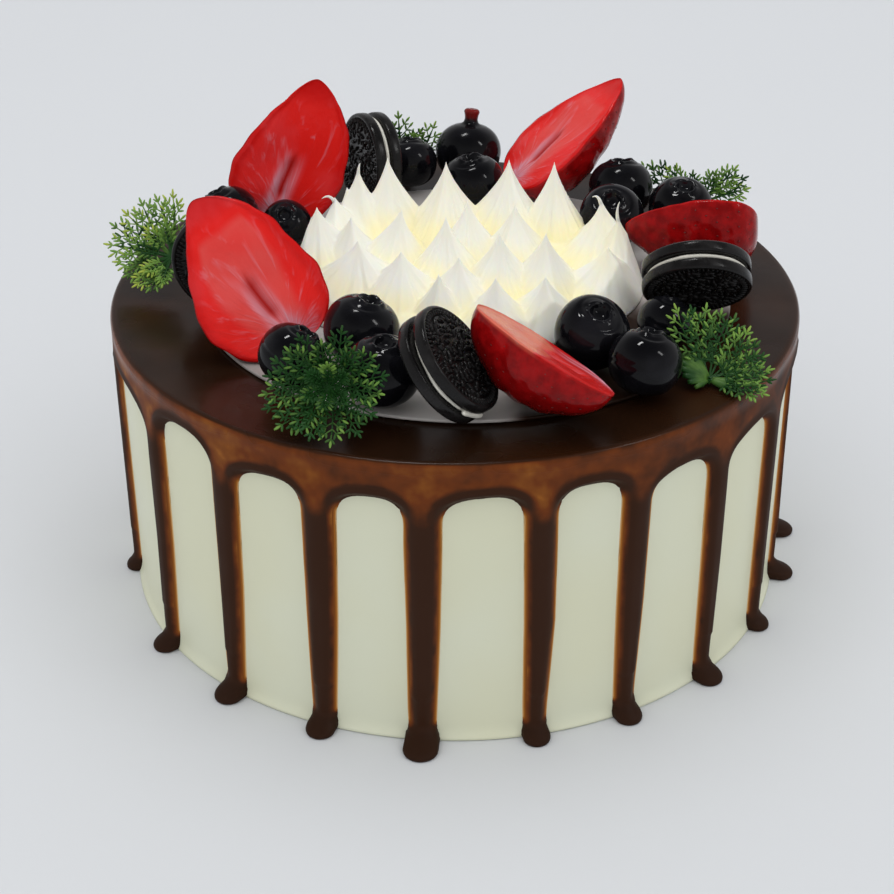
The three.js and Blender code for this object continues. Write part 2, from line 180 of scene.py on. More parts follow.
def soften(mesh):
    """Shades all the faces of a mesh smooth."""
    mesh.polygons.foreach_set("use_smooth", np.ones(len(mesh.polygons), bool))


def make_piece(name, points, faces=(), values=None, links=()):
    """A smooth mesh object from points in millimetres, with one named number or direction per
    point for each entry of values."""
    mesh = bpy.data.meshes.new(name)
    loops = [list(map(int, face)) for group in faces for face in group]
    mesh.from_pydata((np.asarray(points, float) * MM).tolist(), links, loops)
    for key, column in (values or {}).items():
        mark(mesh, key, column)
    if loops:
        soften(mesh)
    mesh.update()
    return add_object(name, mesh)


def join_piece(name, pieces):
    """One object from several, with their places, values and materials kept."""
    with bpy.context.temp_override(
        active_object=pieces[0], selected_editable_objects=pieces, selected_objects=pieces
    ):
        bpy.ops.object.join()
    pieces[0].name = name
    pieces[0].data.name = name
    return pieces[0]


def finish_piece(piece, nodes, material=None):
    """Gives a finished piece its material if one is given, sets it on the root body and hides the
    solids that it stands in for.
    """
    if material:
        piece.data.materials.clear()
        piece.data.materials.append(material)
    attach(piece, "root")
    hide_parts(*nodes)
    return piece


# Node trees


class Nodes:
    """A node tree under construction, with short ways to add nodes, values and links."""

    def __init__(self, group):
        self.group = group

    def add(self, kind, values=None, **settings):
        node = self.group.nodes.new(kind)
        for key, value in settings.items():
            setattr(node, key, value)
        for socket, value in (values or {}).items():
            self.join(value, node.inputs[socket])
        return node

    def out(self, kind, values=None, **settings):
        """Adds a node and returns its first output."""
        return self.add(kind, values, **settings).outputs[0]

    def join(self, value, socket):
        """Links an input to an output of another node, or sets its value."""
        if isinstance(value, bpy.types.NodeSocket):
            self.group.links.new(value, socket)
        elif hasattr(value, "__len__") and len(value) == 3 and len(socket.default_value) == 4:
            socket.default_value = (*value, 1)
        else:
            socket.default_value = value

    def math(self, operation, first, second=0.0, clamp=False):
        return self.out("ShaderNodeMath", {0: first, 1: second}, operation=operation,
            use_clamp=clamp)

    def ramp(self, value, stops, ease="LINEAR"):
        """Colours along a value, from places and colours."""
        node = self.add("ShaderNodeValToRGB", {"Fac": value})
        band = node.color_ramp
        band.interpolation = ease
        while len(band.elements) < len(stops):
            band.elements.new(1.0)
        for element, (place, color) in zip(band.elements, stops):
            element.position = place
            element.color = (*color, 1)
        return node.outputs[0]


class Tree(Nodes):
    """A geometry node tree with named inputs."""

    def __init__(self, name, inputs):
        super().__init__(bpy.data.node_groups.new(name, "GeometryNodeTree"))
        ends = self.group.interface
        ends.new_socket("Geometry", in_out="INPUT", socket_type="NodeSocketGeometry")
        for label, kind, default in inputs:
            socket = ends.new_socket(label, in_out="INPUT", socket_type="NodeSocket" + kind)
            if default is not None:
                socket.default_value = default
        ends.new_socket("Geometry", in_out="OUTPUT", socket_type="NodeSocketGeometry")
        self.given = self.add("NodeGroupInput").outputs
        self.sink = self.add("NodeGroupOutput")

    def named(self, name, kind="FLOAT_VECTOR"):
        """What the mesh holds at each of its points under a name."""
        return self.out("GeometryNodeInputNamedAttribute", {"Name": name}, data_type=kind)

    def aimed(self, pivot="AUTO"):
        """A turn at each point: Z along the direction named out, and Y along the one named aim."""
        kind = "FunctionNodeAlignRotationToVector"
        turned = self.out(kind, {"Vector": self.named("out")}, axis="Z")
        return self.out(kind, {"Rotation": turned, "Vector": self.named("aim")}, axis="Y",
            pivot_axis=pivot)

    def bead(self, sizes, segments=6, rings=4, **moves):
        """A ball stretched to three sizes."""
        ball = self.out("GeometryNodeMeshUVSphere",
            {"Segments": segments, "Rings": rings, "Radius": 0.5})
        scale = self.out("ShaderNodeCombineXYZ", dict(enumerate(sizes)))
        return self.out("GeometryNodeTransform", {"Geometry": ball, "Scale": scale, **moves})

    def random(self, low, high, seed):
        """Three numbers at each point, each between its own two ends."""
        return self.out("FunctionNodeRandomValue", {0: low, 1: high, "Seed": seed},
            data_type="FLOAT_VECTOR")

    def together(self, *parts):
        """Joins geometries."""
        joined = self.add("GeometryNodeJoinGeometry")
        for part in parts:
            self.join(part, joined.inputs[0])
        return joined.outputs[0]

    def end(self, geometry):
        """Makes instances real, gives the result its material and sends it out."""
        real = self.out("GeometryNodeRealizeInstances", {"Geometry": geometry})
        painted = self.out("GeometryNodeSetMaterial",
            {"Geometry": real, "Material": self.given["Material"]})
        self.join(painted, self.sink.inputs[0])
        return self.group


def grow(piece, tree, inputs):
    """Runs a geometry node tree on a piece and keeps the result as its plain, smooth mesh."""
    modifier = piece.modifiers.new(tree.name, "NODES")
    modifier.node_group = tree
    for item in tree.interface.items_tree:
        if item.item_type == "SOCKET" and item.in_out == "INPUT" and item.name in inputs:
            modifier[item.identifier] = inputs[item.name]
    depsgraph = bpy.context.evaluated_depsgraph_get()
    mesh = bpy.data.meshes.new_from_object(
        piece.evaluated_get(depsgraph), preserve_all_data_layers=True, depsgraph=depsgraph
    )
    piece.modifiers.clear()
    mesh.name = piece.name
    soften(mesh)
    piece.data = mesh
    return piece


TURN_RADIUS = 0.01


def turn_profile(name, profile, material, sides, unevenness, lump, seed):
    """A closed round piece about the upright axis from (radius, height) points in millimetres,
    listed from the bottom to the top."""
    line = [(radius - TURN_RADIUS / MM, -height, 0) for radius, height in profile]
    piece = make_piece(name, line, links=[(i, i + 1) for i in range(len(line) - 1)])
    grow(piece, bpy.data.node_groups.get("Turned Piece") or turned_tree(), {
        "Sides": sides,
        "Unevenness": unevenness * MM,
        "Lump Width": lump * MM,
        "Seed": seed,
        "Material": material,
    })
    return face_outward(piece)


def face_outward(piece):
    """Turns a closed piece's faces so that they all point out of it."""
    form = bmesh.new()
    form.from_mesh(piece.data)
    if form.calc_volume(signed=True) < 0:
        bmesh.ops.reverse_faces(form, faces=form.faces)
        form.to_mesh(piece.data)
    form.free()
    return piece


def turned_tree():
    """Turns a profile round the upright axis, as on a potter's wheel, with a slight unevenness."""
    tree = Tree("Turned Piece", [
        ("Sides", "Int", 128),
        ("Unevenness", "Float", 0.0),
        ("Lump Width", "Float", 0.02),
        ("Seed", "Float", 1.0),
        ("Material", "Material", None),
    ])
    given = tree.given
    profile = tree.out("GeometryNodeMeshToCurve", {"Mesh": given["Geometry"]})
    circle = tree.out("GeometryNodeCurvePrimitiveCircle",
        {"Resolution": given["Sides"], "Radius": TURN_RADIUS})
    swept = tree.out("GeometryNodeCurveToMesh", {"Curve": circle, "Profile Curve": profile})
    closed = tree.out("GeometryNodeMergeByDistance", {"Geometry": swept, "Distance": 2e-6})
    lumps = tree.out("ShaderNodeTexNoise", {
        "Vector": tree.out("GeometryNodeInputPosition"),
        "W": given["Seed"],
        "Scale": tree.math("DIVIDE", 1.0, given["Lump Width"]),
        "Detail": 1.0,
    }, noise_dimensions="4D")
    out = tree.math("MULTIPLY", tree.math("SUBTRACT", lumps, 0.5), given["Unevenness"])
    shift = tree.out("ShaderNodeVectorMath",
        {0: tree.out("GeometryNodeInputNormal"), "Scale": out}, operation="SCALE")
    return tree.end(tree.out("GeometryNodeSetPosition", {"Geometry": closed, "Offset": shift}))


# Materials


class Finish(Nodes):
    """A material around one Principled shader."""

    def __init__(self, name, roughness, **sockets):
        self.material = bpy.data.materials.new(name)
        self.material.use_nodes = True
        super().__init__(self.material.node_tree)
        self.shader = self.group.nodes["Principled BSDF"]
        self.place = self.add("ShaderNodeTexCoord").outputs["Object"]
        self.set("Roughness", roughness)
        for socket, value in sockets.items():
            self.set(socket.replace("_", " "), value)

    def set(self, socket, value):
        self.join(value, self.shader.inputs[socket])

    def noise(self, width, detail, roughness=0.5):
        """Cloudy noise from 0 to 1 in lumps that are width millimetres wide."""
        return self.out("ShaderNodeTexNoise", {
            "Vector": self.place,
            "Scale": 0.7 / (width * MM),
            "Detail": detail,
            "Roughness": roughness,
        })

    def value(self, name):
        """A number that the mesh holds at each of its points."""
        return self.add("ShaderNodeAttribute", attribute_name=name).outputs["Fac"]

    def times(self, first, second):
        return self.math("MULTIPLY", first, second)

    def swing(self, cloud, amount, middle=0.5):
        """A cloud's ups and downs about its middle, times an amount."""
        return self.times(self.math("SUBTRACT", cloud, middle), amount)

    def map(self, value, low, high, to_low=0.0, to_high=1.0):
        return self.out("ShaderNodeMapRange", {
            "Value": value,
            "From Min": low,
            "From Max": high,
            "To Min": to_low,
            "To Max": to_high,
        }, interpolation_type="SMOOTHSTEP")

    def wander(self, width, detail, low, high):
        """A value that wanders from low to high in lumps that are width millimetres wide."""
        return self.map(self.noise(width, detail), 0.3, 0.7, low, high)

    def mix(self, share, first, second):
        node = self.add("ShaderNodeMix", {0: share, 6: first, 7: second}, data_type="RGBA")
        return node.outputs[2]

    def bump(self, height, distance, strength):
        """Fine relief, distance millimetres deep for a height of 1."""
        earlier = self.shader.inputs["Normal"].links
        normal = {"Normal": earlier[0].from_socket} if earlier else {}
        self.set("Normal", self.out("ShaderNodeBump", {
            "Height": height,
            "Distance": distance * MM,
            "Strength": strength,
            **normal,
        }))

    def grain(self, width, detail, distance, strength, roughness=0.5):
        """Fine relief in lumps that are width millimetres wide."""
        self.bump(self.noise(width, detail, roughness), distance, strength)


def shade(colour, factor, lift=0.0):
    """A colour times a factor, or times one for each of its parts, plus a lift."""
    return tuple(np.array(colour) * factor + lift)


def blend(*parts):
    """The sum of several colours, each of them given after its share."""
    return tuple(sum(share * np.array(colour) for share, colour in parts))


def coat_finish(looks):
    """Satin cream with faint warm clouds."""
    finish = Finish("Cream Coat", 0.4, Specular_IOR_Level=0.25)
    warm = shade(looks.coat, (0.99, 0.975, 0.93))
    cloud = finish.map(finish.noise(26, 2), 0.35, 0.65)
    finish.set("Base Color", finish.mix(cloud, looks.coat, warm))
    finish.set("Roughness", finish.wander(9, 3, 0.33, 0.42))
    finish.grain(14, 2, 0.12, 0.5)
    finish.grain(2.2, 2, 0.012, 0.5)
    return finish.material


def icing_finish(looks):
    """Glossy chocolate that lets light through where it is thin."""
    finish = Finish("Chocolate Icing", 0.24, Specular_IOR_Level=0.13)
    thick = finish.value("thick")
    mottle = finish.math("ADD", finish.swing(finish.noise(8, 3, 0.6), 0.9, 0.48),
        finish.swing(finish.noise(2.4, 2), 0.25))
    band = finish.times(finish.map(thick, 0.25, 0.3), finish.map(thick, 0.62, 0.44))
    clouds = finish.times(finish.map(finish.noise(24, 3), 0.42, 0.75),
        finish.map(thick, 0.85, 1.0, 0.0, -0.3))
    mottled = finish.math("ADD", thick, finish.times(band, mottle))
    depth = finish.math("ADD", mottled, clouds, clamp=True)
    edge, thin, bead, deep = looks.icing_edge, looks.icing_thin, looks.icing_bead, looks.icing
    finish.set("Base Color", finish.ramp(depth, [
        (0.0, shade(edge, 1.2, (0.25, 0.3, 0.2))),
        (0.07, edge),
        (0.18, blend((0.3, edge), (0.7, thin))),
        (0.32, thin),
        (0.6, bead),
        (0.8, blend((0.5, bead), (0.5, deep))),
        (1.0, deep),
    ]))
    # The side is duller than the top
    height = finish.add("ShaderNodeSeparateXYZ", {0: finish.place}).outputs[2]
    dull = finish.map(height, 0.069, 0.066, 0, 0.32)
    finish.set("Roughness", finish.math("ADD", finish.wander(11, 2, 0.2, 0.3), dull))
    finish.grain(13, 2, 0.3, 0.7)
    finish.grain(4.5, 2, 0.06, 0.6)
    return finish.material


def disc_finish(looks):
    """Matt white, with a film of chocolate where it is stained, and a light brown at its left edge.
    """
    finish = Finish("White Disc", 0.45, Specular_IOR_Level=0.2)
    cloud = finish.noise(9, 3)
    bare = finish.mix(cloud, looks.disc, shade(looks.disc, 0.9))
    browned = finish.times(finish.value("browned"), finish.map(cloud, 0.3, 0.6, 0.8, 1.1))
    film = finish.ramp(browned,
        [(0, looks.icing_thin), (0.3, looks.icing_bead), (0.7, looks.icing)], "EASE")
    finish.set("Base Color", finish.mix(finish.map(browned, 0, 0.6), bare, film))
    finish.grain(1.3, 2, 0.01, 0.4)
    return finish.material


def floor_finish(looks):
    """Dull and pale, with faint wide clouds."""
    finish = Finish("Pale Floor", 0.75, Specular_IOR_Level=0.2)
    cloud = finish.noise(220, 2)
    finish.set("Base Color", finish.mix(cloud, looks.floor, shade(looks.floor, 0.985)))
    return finish.material


def spaced(first, last, step):
    """Evenly spaced numbers from first to last, about step apart."""
    count = max(2, round(abs(last - first) / step) + 1)
    return np.linspace(first, last, count)


# Cake, icing and disc


def build_coat(looks, sizes):
    """The cream-coated cake, with a soft top edge and a foot that spreads slightly."""
    flare = sizes.foot_flare / MM
    foot = ((1, 0.35), (0.7, 0.9), (0.32, 1.8), (0.08, 2.8))
    profile = [(0, 0.02), (40, 0.02), (COAT_RADIUS + flare - 0.4, 0.02)]
    profile += [(COAT_RADIUS + share * flare, height) for share, height in foot]
    profile += [(COAT_RADIUS, height) for height in spaced(4, COAT_TOP - 3, 4)]
    profile += [(COAT_RADIUS - 1 + math.cos(angle), COAT_TOP - 1 + math.sin(angle))
        for angle in np.linspace(18, 90, 5) * DEG]
    profile += [(50, COAT_TOP), (0, COAT_TOP)]
    piece = turn_profile("cream_coat", profile, coat_finish(looks), sides=220,
        unevenness=sizes.coat_unevenness / MM, lump=34, seed=3.0)
    return finish_piece(piece, ["cake_body"])


def all_drips():
    """The drips round the whole cake: bearing, reach, wander and widths of each."""
    drips = list(SHOWN_DRIPS)
    first = SHOWN_DRIPS[0][0] + 360
    last = SHOWN_DRIPS[-1][0]
    step = (first - last) / (HIDDEN_DRIPS + 1)
    for index in range(1, HIDDEN_DRIPS + 1):
        bearing = last + step * index + 1.2 * math.sin(2.3 * index)
        wander = (0.7 * math.sin(1.9 * index), 0.3 * math.sin(2.9 * index), 0)
        wide = 0.4 * math.sin(3.7 * index)
        drips.append((
            bearing, 5.2 + 1.2 * math.cos(1.7 * index), wander, (6 + wide, 7.1 + wide, 7.6),
        ))
    return drips


def openings():
    """Each opening between two drips: its number, both drips, and what is added to distances
    round the cake at the second one, where the circle closes."""
    drips = all_drips()
    for index, left in enumerate(drips):
        following = (index + 1) % len(drips)
        yield index, left, drips[following], 0 if following else TAU * CAKE_RADIUS


def drip_middle(drip, height):
    """Where a drip's middle line is at a height, as a distance round the cake."""
    return drip[0] * DEG * CAKE_RADIUS + np.interp(height, DRIP_HEIGHTS, drip[2])


def drip_half(drip, height):
    """Half of a drip's width at a height: a round foot, a neck over it, then its three widths."""
    low, middle, high = drip[3]
    heights = (0, 0.5, 1.0, 1.7, 2.2, 2.8, 3.6, 4.6, 8, 20, 30, 50, 56)
    foot = 2 * foot_round(drip[1])
    neck = 0.96 * low
    widths = (0.92 * foot, 0.98 * foot, foot, 0.98 * foot, 0.93 * foot, 0.4 * neck + 0.52 * foot,
        0.75 * neck + 0.25 * foot, neck, low, 0.4 * low + 0.6 * middle, middle, high, high)
    return 0.5 * np.interp(height, heights, widths)


def foot_round(reach):
    """The radius of a drip's foot, larger where it reaches further out."""
    return FOOT_ROUND * (0.62 + 0.38 * reach / 6)


def opening_outline(left, right, arch, shift):
    """The edge of the icing round one opening, from the foot of its left drip over to the right:
    points of distance round the cake and height."""
    top, tilt = arch
    low = top - ARCH_HIGH
    rise = np.concatenate([spaced(FOOT_CLEARANCE, 9, 0.4), spaced(9.6, low, 0.9)])
    curve = np.sin(np.linspace(0, 1, 26) * 90 * DEG)[1:]
    share = np.concatenate([np.zeros(len(rise)), curve])
    height = np.concatenate([rise, low + ARCH_HIGH * curve])
    closing = np.maximum(1 - share ** ARCH_SQUARE, 0) ** (1 / ARCH_SQUARE)
    edge_left = drip_middle(left, height) + drip_half(left, height)
    edge_right = drip_middle(right, height) + drip_half(right, height) + shift
    edge_right -= 2 * drip_half(right, height)
    middle = (edge_left + edge_right) / 2
    half = (edge_right - edge_left) / 2
    inner = share ** 2 * tilt
    left_side, right_side = (
        np.stack([middle + side * half * closing, height + side * inner * closing], 1)
        for side in (-1, 1)
    )
    start = [[drip_middle(left, 0), FOOT_CLEARANCE]]
    end = [[drip_middle(right, 0) + shift, FOOT_CLEARANCE]]
    return np.concatenate([start, left_side, right_side[-2::-1], end])


def edge_distance(across, height, outline):
    """How far each point is from the outline of an opening, positive in the icing, and the
    nearest point of the outline."""
    spot = np.stack([across, height], -1)[..., None, :]
    first = outline[:-1]
    way = outline[1:] - first
    length = np.maximum((way ** 2).sum(-1), 1e-12)
    share = np.clip(((spot - first) * way).sum(-1) / length, 0, 1)
    near = first + share[..., None] * way
    gaps = np.sqrt(((spot - near) ** 2).sum(-1))
    nearest = gaps.argmin(-1)[..., None]
    gap = np.take_along_axis(gaps, nearest, -1)[..., 0]
    near = np.take_along_axis(near, nearest[..., None], -2)[..., 0, :]
    # A point is in the opening if a line straight up from it crosses the outline an odd number of
    # times
    x, y = spot[..., 0], spot[..., 1]
    x0, x1 = outline[:-1, 0], outline[1:, 0]
    spans = (x0 <= x) != (x1 <= x)
    run = np.where(np.abs(x1 - x0) < 1e-9, 1e-9, x1 - x0)
    level = outline[:-1, 1] + (x - x0) / run * way[:, 1]
    crossings = (spans & (level > y)).sum(-1)
    return np.where(crossings % 2 == 1, -gap, gap), near


DRIP_COLUMNS = (0, 0.2, 0.38, 0.55, 0.7, 0.82, 0.91, 0.97, 1.0, 1.05, 1.14, 1.3)
BAY_COLUMNS = 11
DRAW_ONTO_EDGE = 0.24
# How far under the coating the icing's mesh runs in the openings, and how little of that is kept
SUNK = -0.6
KEPT_ABOVE = -0.55
# Distances from the edge: to the icing's full thickness in the band, and to the middle of the bead
EDGE_ROUND = 2.1
BEAD_MIDDLE = 1.5
DRIP_ROUND = 0.85
# Heights between which: the band becomes drips, the foot spreads, a drip's dark core begins, the
# thin funnel over it begins, and its edges let light through
BAND_TO_DRIP = (67, 57)
FOOT_SPREAD = (5.4, 2.8)
CORE_START = (62, 56)
FUNNEL_START = (54.5, 59)
UPRIGHT_START = (60.5, 57)
# The rings of the icing's top, how far the inner side is drawn in at the last of them, and where
# the rings under the rounded rim start and end
TOP_RINGS = (16, 42, 60, 63, 66, 69, 72, 75, 77, 78.3)
DRAWN_IN = ((75, 78.3), (1, 0.976))
UNDER_RIM = (76.6, 77.6)
INNER_RADIUS = COAT_RADIUS - 0.85
FLAT_LEVEL = 60.0


def icing_columns(height):
    """Where the upright lines of the icing's mesh stand at a height, by distance round the cake,
    and which opening each lies over."""
    lines, bays = [], []
    for index, left, right, shift in openings():
        x0, h0 = drip_middle(left, height), drip_half(left, height)
        x1, h1 = drip_middle(right, height) + shift, drip_half(right, height)
        start = [x0 + h0 * u for u in DRIP_COLUMNS]
        end = [x1 - h1 * u for u in DRIP_COLUMNS[:0:-1]]
        share = np.linspace(0, 1, BAY_COLUMNS + 2)[1:-1]
        share = 0.5 * share + 0.25 * (1 - np.cos(math.pi * share))
        row = [*start, *(start[-1] + (end[0] - start[-1]) * share), *end]
        lines += row
        bays += [index] * len(row)
    return np.array(lines), np.array(bays)


def icing_relief(across, height, bays, sizes):
    """How far the icing stands off the coat at each point of its side, how thick it looks, and
    the points themselves, of which those next to an opening are drawn onto its outline."""
    across, height = across.copy(), height.copy()
    distance, beside, reach, half = (np.zeros(across.shape) for _ in range(4))
    for index, left, right, shift in openings():
        outline = opening_outline(left, right, ARCHES[index % len(ARCHES)], shift)
        here = bays == index
        gap, near = edge_distance(across[here], height[here], outline)
        drawn = (np.abs(gap) < DRAW_ONTO_EDGE) & (height[here] > 40)
        across[here] = np.where(drawn, near[:, 0], across[here])
        height[here] = np.where(drawn, near[:, 1], height[here])
        distance[here] = np.where(drawn, 0, gap)
        x, z = across[here], height[here]
        to_left = np.abs(x - drip_middle(left, z))
        to_right = np.abs(x - drip_middle(right, z) - shift)
        nearer = to_left < to_right
        beside[here] = np.minimum(to_left, to_right)
        reach[here] = np.where(nearer, left[1], right[1])
        half[here] = np.where(nearer, drip_half(left, z), drip_half(right, z))
    bulge = sizes.drip_bulge / MM + 0.3
    on_drip = smooth(*BAND_TO_DRIP, height) * np.exp(-(beside / 5.2) ** 4)
    full = BAND + (bulge * np.minimum(half / 2.7, 1) - BAND) * on_drip
    width = EDGE_ROUND + (DRIP_ROUND * half - EDGE_ROUND) * on_drip
    share = np.clip(distance / width, 0, 1)
    out = np.where(distance > 0, full * (1 - (1 - share ** 1.7) ** 2), 1.6 * distance)
    out += 0.13 * (distance > -0.01)
    bead = np.exp(-(distance - BEAD_MIDDLE) ** 2)
    out += sizes.bead_height / MM * bead * smooth(0, 0.8, distance) * (height > 12)
    # The foot: a fillet down the front of the drip, then a low puddle with a round front
    spill = np.interp(height, *FOOT_SPILL)
    front = bulge + (reach - bulge) * spill
    rounding = np.minimum(front, foot_round(reach))
    puddle = front - rounding * (1 - np.sqrt(np.clip(1 - (beside / half) ** 2, 0, 1)))
    puddle = np.where(distance > 0, puddle, SUNK)
    near_floor = smooth(*FOOT_SPREAD, height)
    out = np.maximum(out + (puddle - out) * near_floor, SUNK)
    # Thick along the openings and down the drips, thin in the band and in a funnel over each drip
    solid = 1 - 0.8 * np.exp(-(beside / 2.0) ** 2) * smooth(*FUNNEL_START, height)
    core = smooth(*CORE_START, height) * (beside < 7)
    thick = 0.3 + 0.34 * np.maximum(smooth(4.3, 2.7, distance), core) * solid
    thick += 0.15 * near_floor
    # Light comes through the upright edges of the drips, where the icing is a thin film
    upright = smooth(*UPRIGHT_START, height) * (1 - near_floor)
    thick *= 1 - upright * (1 - smooth(-0.2, 1.9, distance))
    return out, thick, across, height


def round_cake(radius, across, height):
    """Points at a radius, from distances round the cake, which are measured at its edge, and
    heights."""
    angle = across / CAKE_RADIUS
    spots = np.broadcast_arrays(radius * np.sin(angle), -radius * np.cos(angle), height)
    return np.stack(spots, 1)


def icing_rows(sizes):
    """The rows of the icing from the middle of its top down its side: the outer points, those of
    its inner side, how thick it looks at each, and which points are kept."""
    rim = sizes.rim_round / MM
    heights = np.concatenate([
        spaced(ICING_TOP - rim - 0.15, 66.2, 0.7), spaced(65.75, 54.2, 0.42), spaced(53, 13, 2.9),
        spaced(12.2, 5.6, 0.8), (5.1, 4.6, 4.1, 3.7, 3.3, 2.9, 2.6, 2.3, 2.0, 1.7, 1.4, 1.1, 0.8,
        0.5, 0.25, FOOT_CLEARANCE, 0.4 * FOOT_CLEARANCE),
    ])
    across, _ = icing_columns(FLAT_LEVEL)
    rows = []
    for radius in TOP_RINGS:
        outer = round_cake(radius, across, ICING_TOP)
        drawn_in = np.interp(radius, *DRAWN_IN)
        rows.append((outer, outer * (drawn_in, drawn_in, 0) + (0, 0, COAT_TOP + 0.12), 1.0))
    turns = np.linspace(8, 82, 6) * DEG
    for turn, inner in zip(turns, np.linspace(*UNDER_RIM, len(turns))):
        radius = CAKE_RADIUS - rim + rim * math.sin(turn)
        outer = round_cake(radius, across, ICING_TOP - rim + rim * math.cos(turn))
        thick = np.interp(turn, (0.2, 0.7, 1.1, 1.4), (0.85, 0.6, 0.36, 0.34))
        rows.append((outer, round_cake(inner, across, COAT_TOP + 0.1), thick))
    top_rows = len(rows)
    kept = [np.ones(len(across), bool)] * top_rows
    for height in heights:
        lines, bays = icing_columns(height)
        out, thick, lines, level = icing_relief(lines, np.full(len(lines), height), bays, sizes)
        rows.append((round_cake(COAT_RADIUS + out, lines, level),
            round_cake(INNER_RADIUS, lines, np.minimum(level, COAT_TOP + 0.05)), thick))
        kept.append(out > KEPT_ABOVE)
    outer, inner, thick = zip(*rows)
    outer = np.array(outer)
    thick = np.array([np.broadcast_to(row, len(across)) for row in thick])
    # Slight runs and waves, as icing that was poured has
    away = np.linalg.norm(outer[..., :2], axis=-1)
    side = outer[..., :2] / np.maximum(away, 1)[..., None]
    lumps = ripple(outer.reshape(-1, 3) * (1, 1, 0.55), 17, 11).reshape(away.shape)
    in_band = np.concatenate([np.ones(top_rows), smooth(50, 56, heights)])
    amount = sizes.icing_unevenness / MM * lumps * in_band[:, None]
    outer[top_rows:, :, :2] += side[top_rows:] * amount[top_rows:, :, None]
    outer[:top_rows, :, 2] += amount[:top_rows] * smooth(81, 76, away[:top_rows])
    return outer, np.array(inner), thick, np.array(kept)


def icing_faces(kept, standing):
    """The faces of the icing over the kept points: outside, inside, and walls between the two
    round every edge."""
    rows, count = kept.shape
    near = kept | np.roll(kept, -1, 1)
    face_kept = near[:-1] | near[1:]
    quads = grid_faces(rows, count).reshape(rows - 1, count, 4)
    total = rows * count
    walls = []
    for row, column in zip(*np.nonzero(face_kept)):
        a, b, c, d = quads[row, column]
        if row == rows - 2 or not face_kept[row + 1, column]:
            walls.append((d, c))
        if row > 0 and not face_kept[row - 1, column]:
            walls.append((b, a))
        if not face_kept[row, (column + 1) % count]:
            walls.append((c, b))
        if not face_kept[row, column - 1]:
            walls.append((a, d))
    ring = np.arange(count)
    return [
        split_quads(quads[face_kept], standing),
        quads[face_kept][:, ::-1] + total,
        [(start, end, end + total, start + total) for start, end in walls],
        fan_faces(2 * total, ring, True),
        fan_faces(2 * total + 1, ring + total),
    ]


def build_icing(looks, sizes):
    """Chocolate that covers the top, wraps the edge and runs down the side in drips."""
    outer, inner, thick, kept = icing_rows(sizes)
    standing = np.linalg.norm(outer[..., :2], axis=-1).reshape(-1)
    points = np.concatenate([outer.reshape(-1, 3), inner.reshape(-1, 3),
        [[0, 0, ICING_TOP], [0, 0, COAT_TOP + 0.12]]])
    thick = np.concatenate([thick.reshape(-1)] * 2 + [[1.0, 1.0]])
    # The band is thicker on the right
    in_band = smooth(0.64, 0.36, thick) * smooth(0.2, 0.3, thick)
    thick += 0.15 * smooth(12, 62, points[:, 0]) * in_band
    piece = make_piece("icing", points, icing_faces(kept, standing), {"thick": thick})
    drop_loose_points(piece)
    face_outward(piece)
    return finish_piece(piece, ["chocolate_icing"], icing_finish(looks))


def split_quads(quads, standing):
    """Two triangles for each quad, cut between the corners that stand off the cake most alike."""
    a, b, c, d = quads.T
    along = np.abs(standing[a] - standing[c]) <= np.abs(standing[b] - standing[d])
    first = np.where(along[:, None], np.stack([a, b, c], 1), np.stack([a, b, d], 1))
    second = np.where(along[:, None], np.stack([a, c, d], 1), np.stack([b, c, d], 1))
    return np.concatenate([first, second])


def drop_loose_points(piece):
    """Takes out the points that no face uses."""
    form = bmesh.new()
    form.from_mesh(piece.data)
    bmesh.ops.delete(form, geom=[v for v in form.verts if not v.link_faces], context="VERTS")
    form.to_mesh(piece.data)
    form.free()


DISC_MIDDLE = (2.8, -3.2)
DISC_ROUND = 0.35


def build_disc(looks):
    """The thin white disc on the icing, with rings of points that carry where it is browned."""
    profile = [(0, DISC_LOW), (40, DISC_LOW)]
    for angle in np.linspace(-90, 90, 7) * DEG:
        high = DISC_ROUND * math.sin(angle)
        level = DISC_LOW + DISC_ROUND + high if high < 0 else DISC_HIGH - DISC_ROUND + high
        profile.append((DISC_RADIUS - DISC_ROUND + DISC_ROUND * math.cos(angle), level))
    profile += [(radius, DISC_HIGH) for radius in (58, 55, 52, 49, 46, 42, 38, 32, 25, 0)]
    piece = turn_profile("topping_board", profile, disc_finish(looks), sides=180,
        unevenness=0.12, lump=22, seed=8.0)
    piece.data.transform(Matrix.Translation(Vector((*DISC_MIDDLE, 0)) * MM))
    # Chocolate has run over the disc at the front on the right, and the disc is browned a little at
    # its left edge
    x, y, _ = np.array([vertex.co for vertex in piece.data.vertices]).T / MM
    browned = smooth(5, 23, x) * smooth(0, -34, y)
    mark(piece.data, "browned", np.maximum(browned, 0.34 * smooth(-32, -44, x)))
    return finish_piece(piece, ["topping_disc"])


# Cream

# The peaks: tip x, y and height, how wide each is against the others, and how far it leans
PEAKS = (
    (-32, 5, 89.5, 1.2, 0), (-28.4, 14, 88.2, 1.1, -1), (-25.7, 19, 88.7, 1.1, 0),
    (-23, 20, 93, 1, 0), (-16, 22, 95, 1.05, 0), (-2, 19, 95, 1.1, 0), (13, 20.5, 95, 1.1, 0),
    (23.7, 19, 95, 0.95, 0), (34, 5, 91.2, 1.2, -0.8), (37.6, -1, 89.6, 0.85, 0),
    (-24, 3, 88, 1, 0), (-12, 3, 90, 1, 2), (-2, -4, 91, 1, 0), (10, -12, 90.5, 1, 0),
    (20.5, -12, 90.5, 1, 0), (34.6, -11, 86.6, 1.3, 0), (-22, -8, 87, 1.35, 0),
    (-12, -15, 87.5, 1.15, 0), (-3.5, -24, 86.1, 0.65, 0), (1, -18, 87.5, 1, 0),
    (9, -25.5, 86, 0.85, 0), (3, 5, 91, 1, 0), (14, 3, 91, 1, 0), (20, -24, 85.5, 0.85, 0),
)
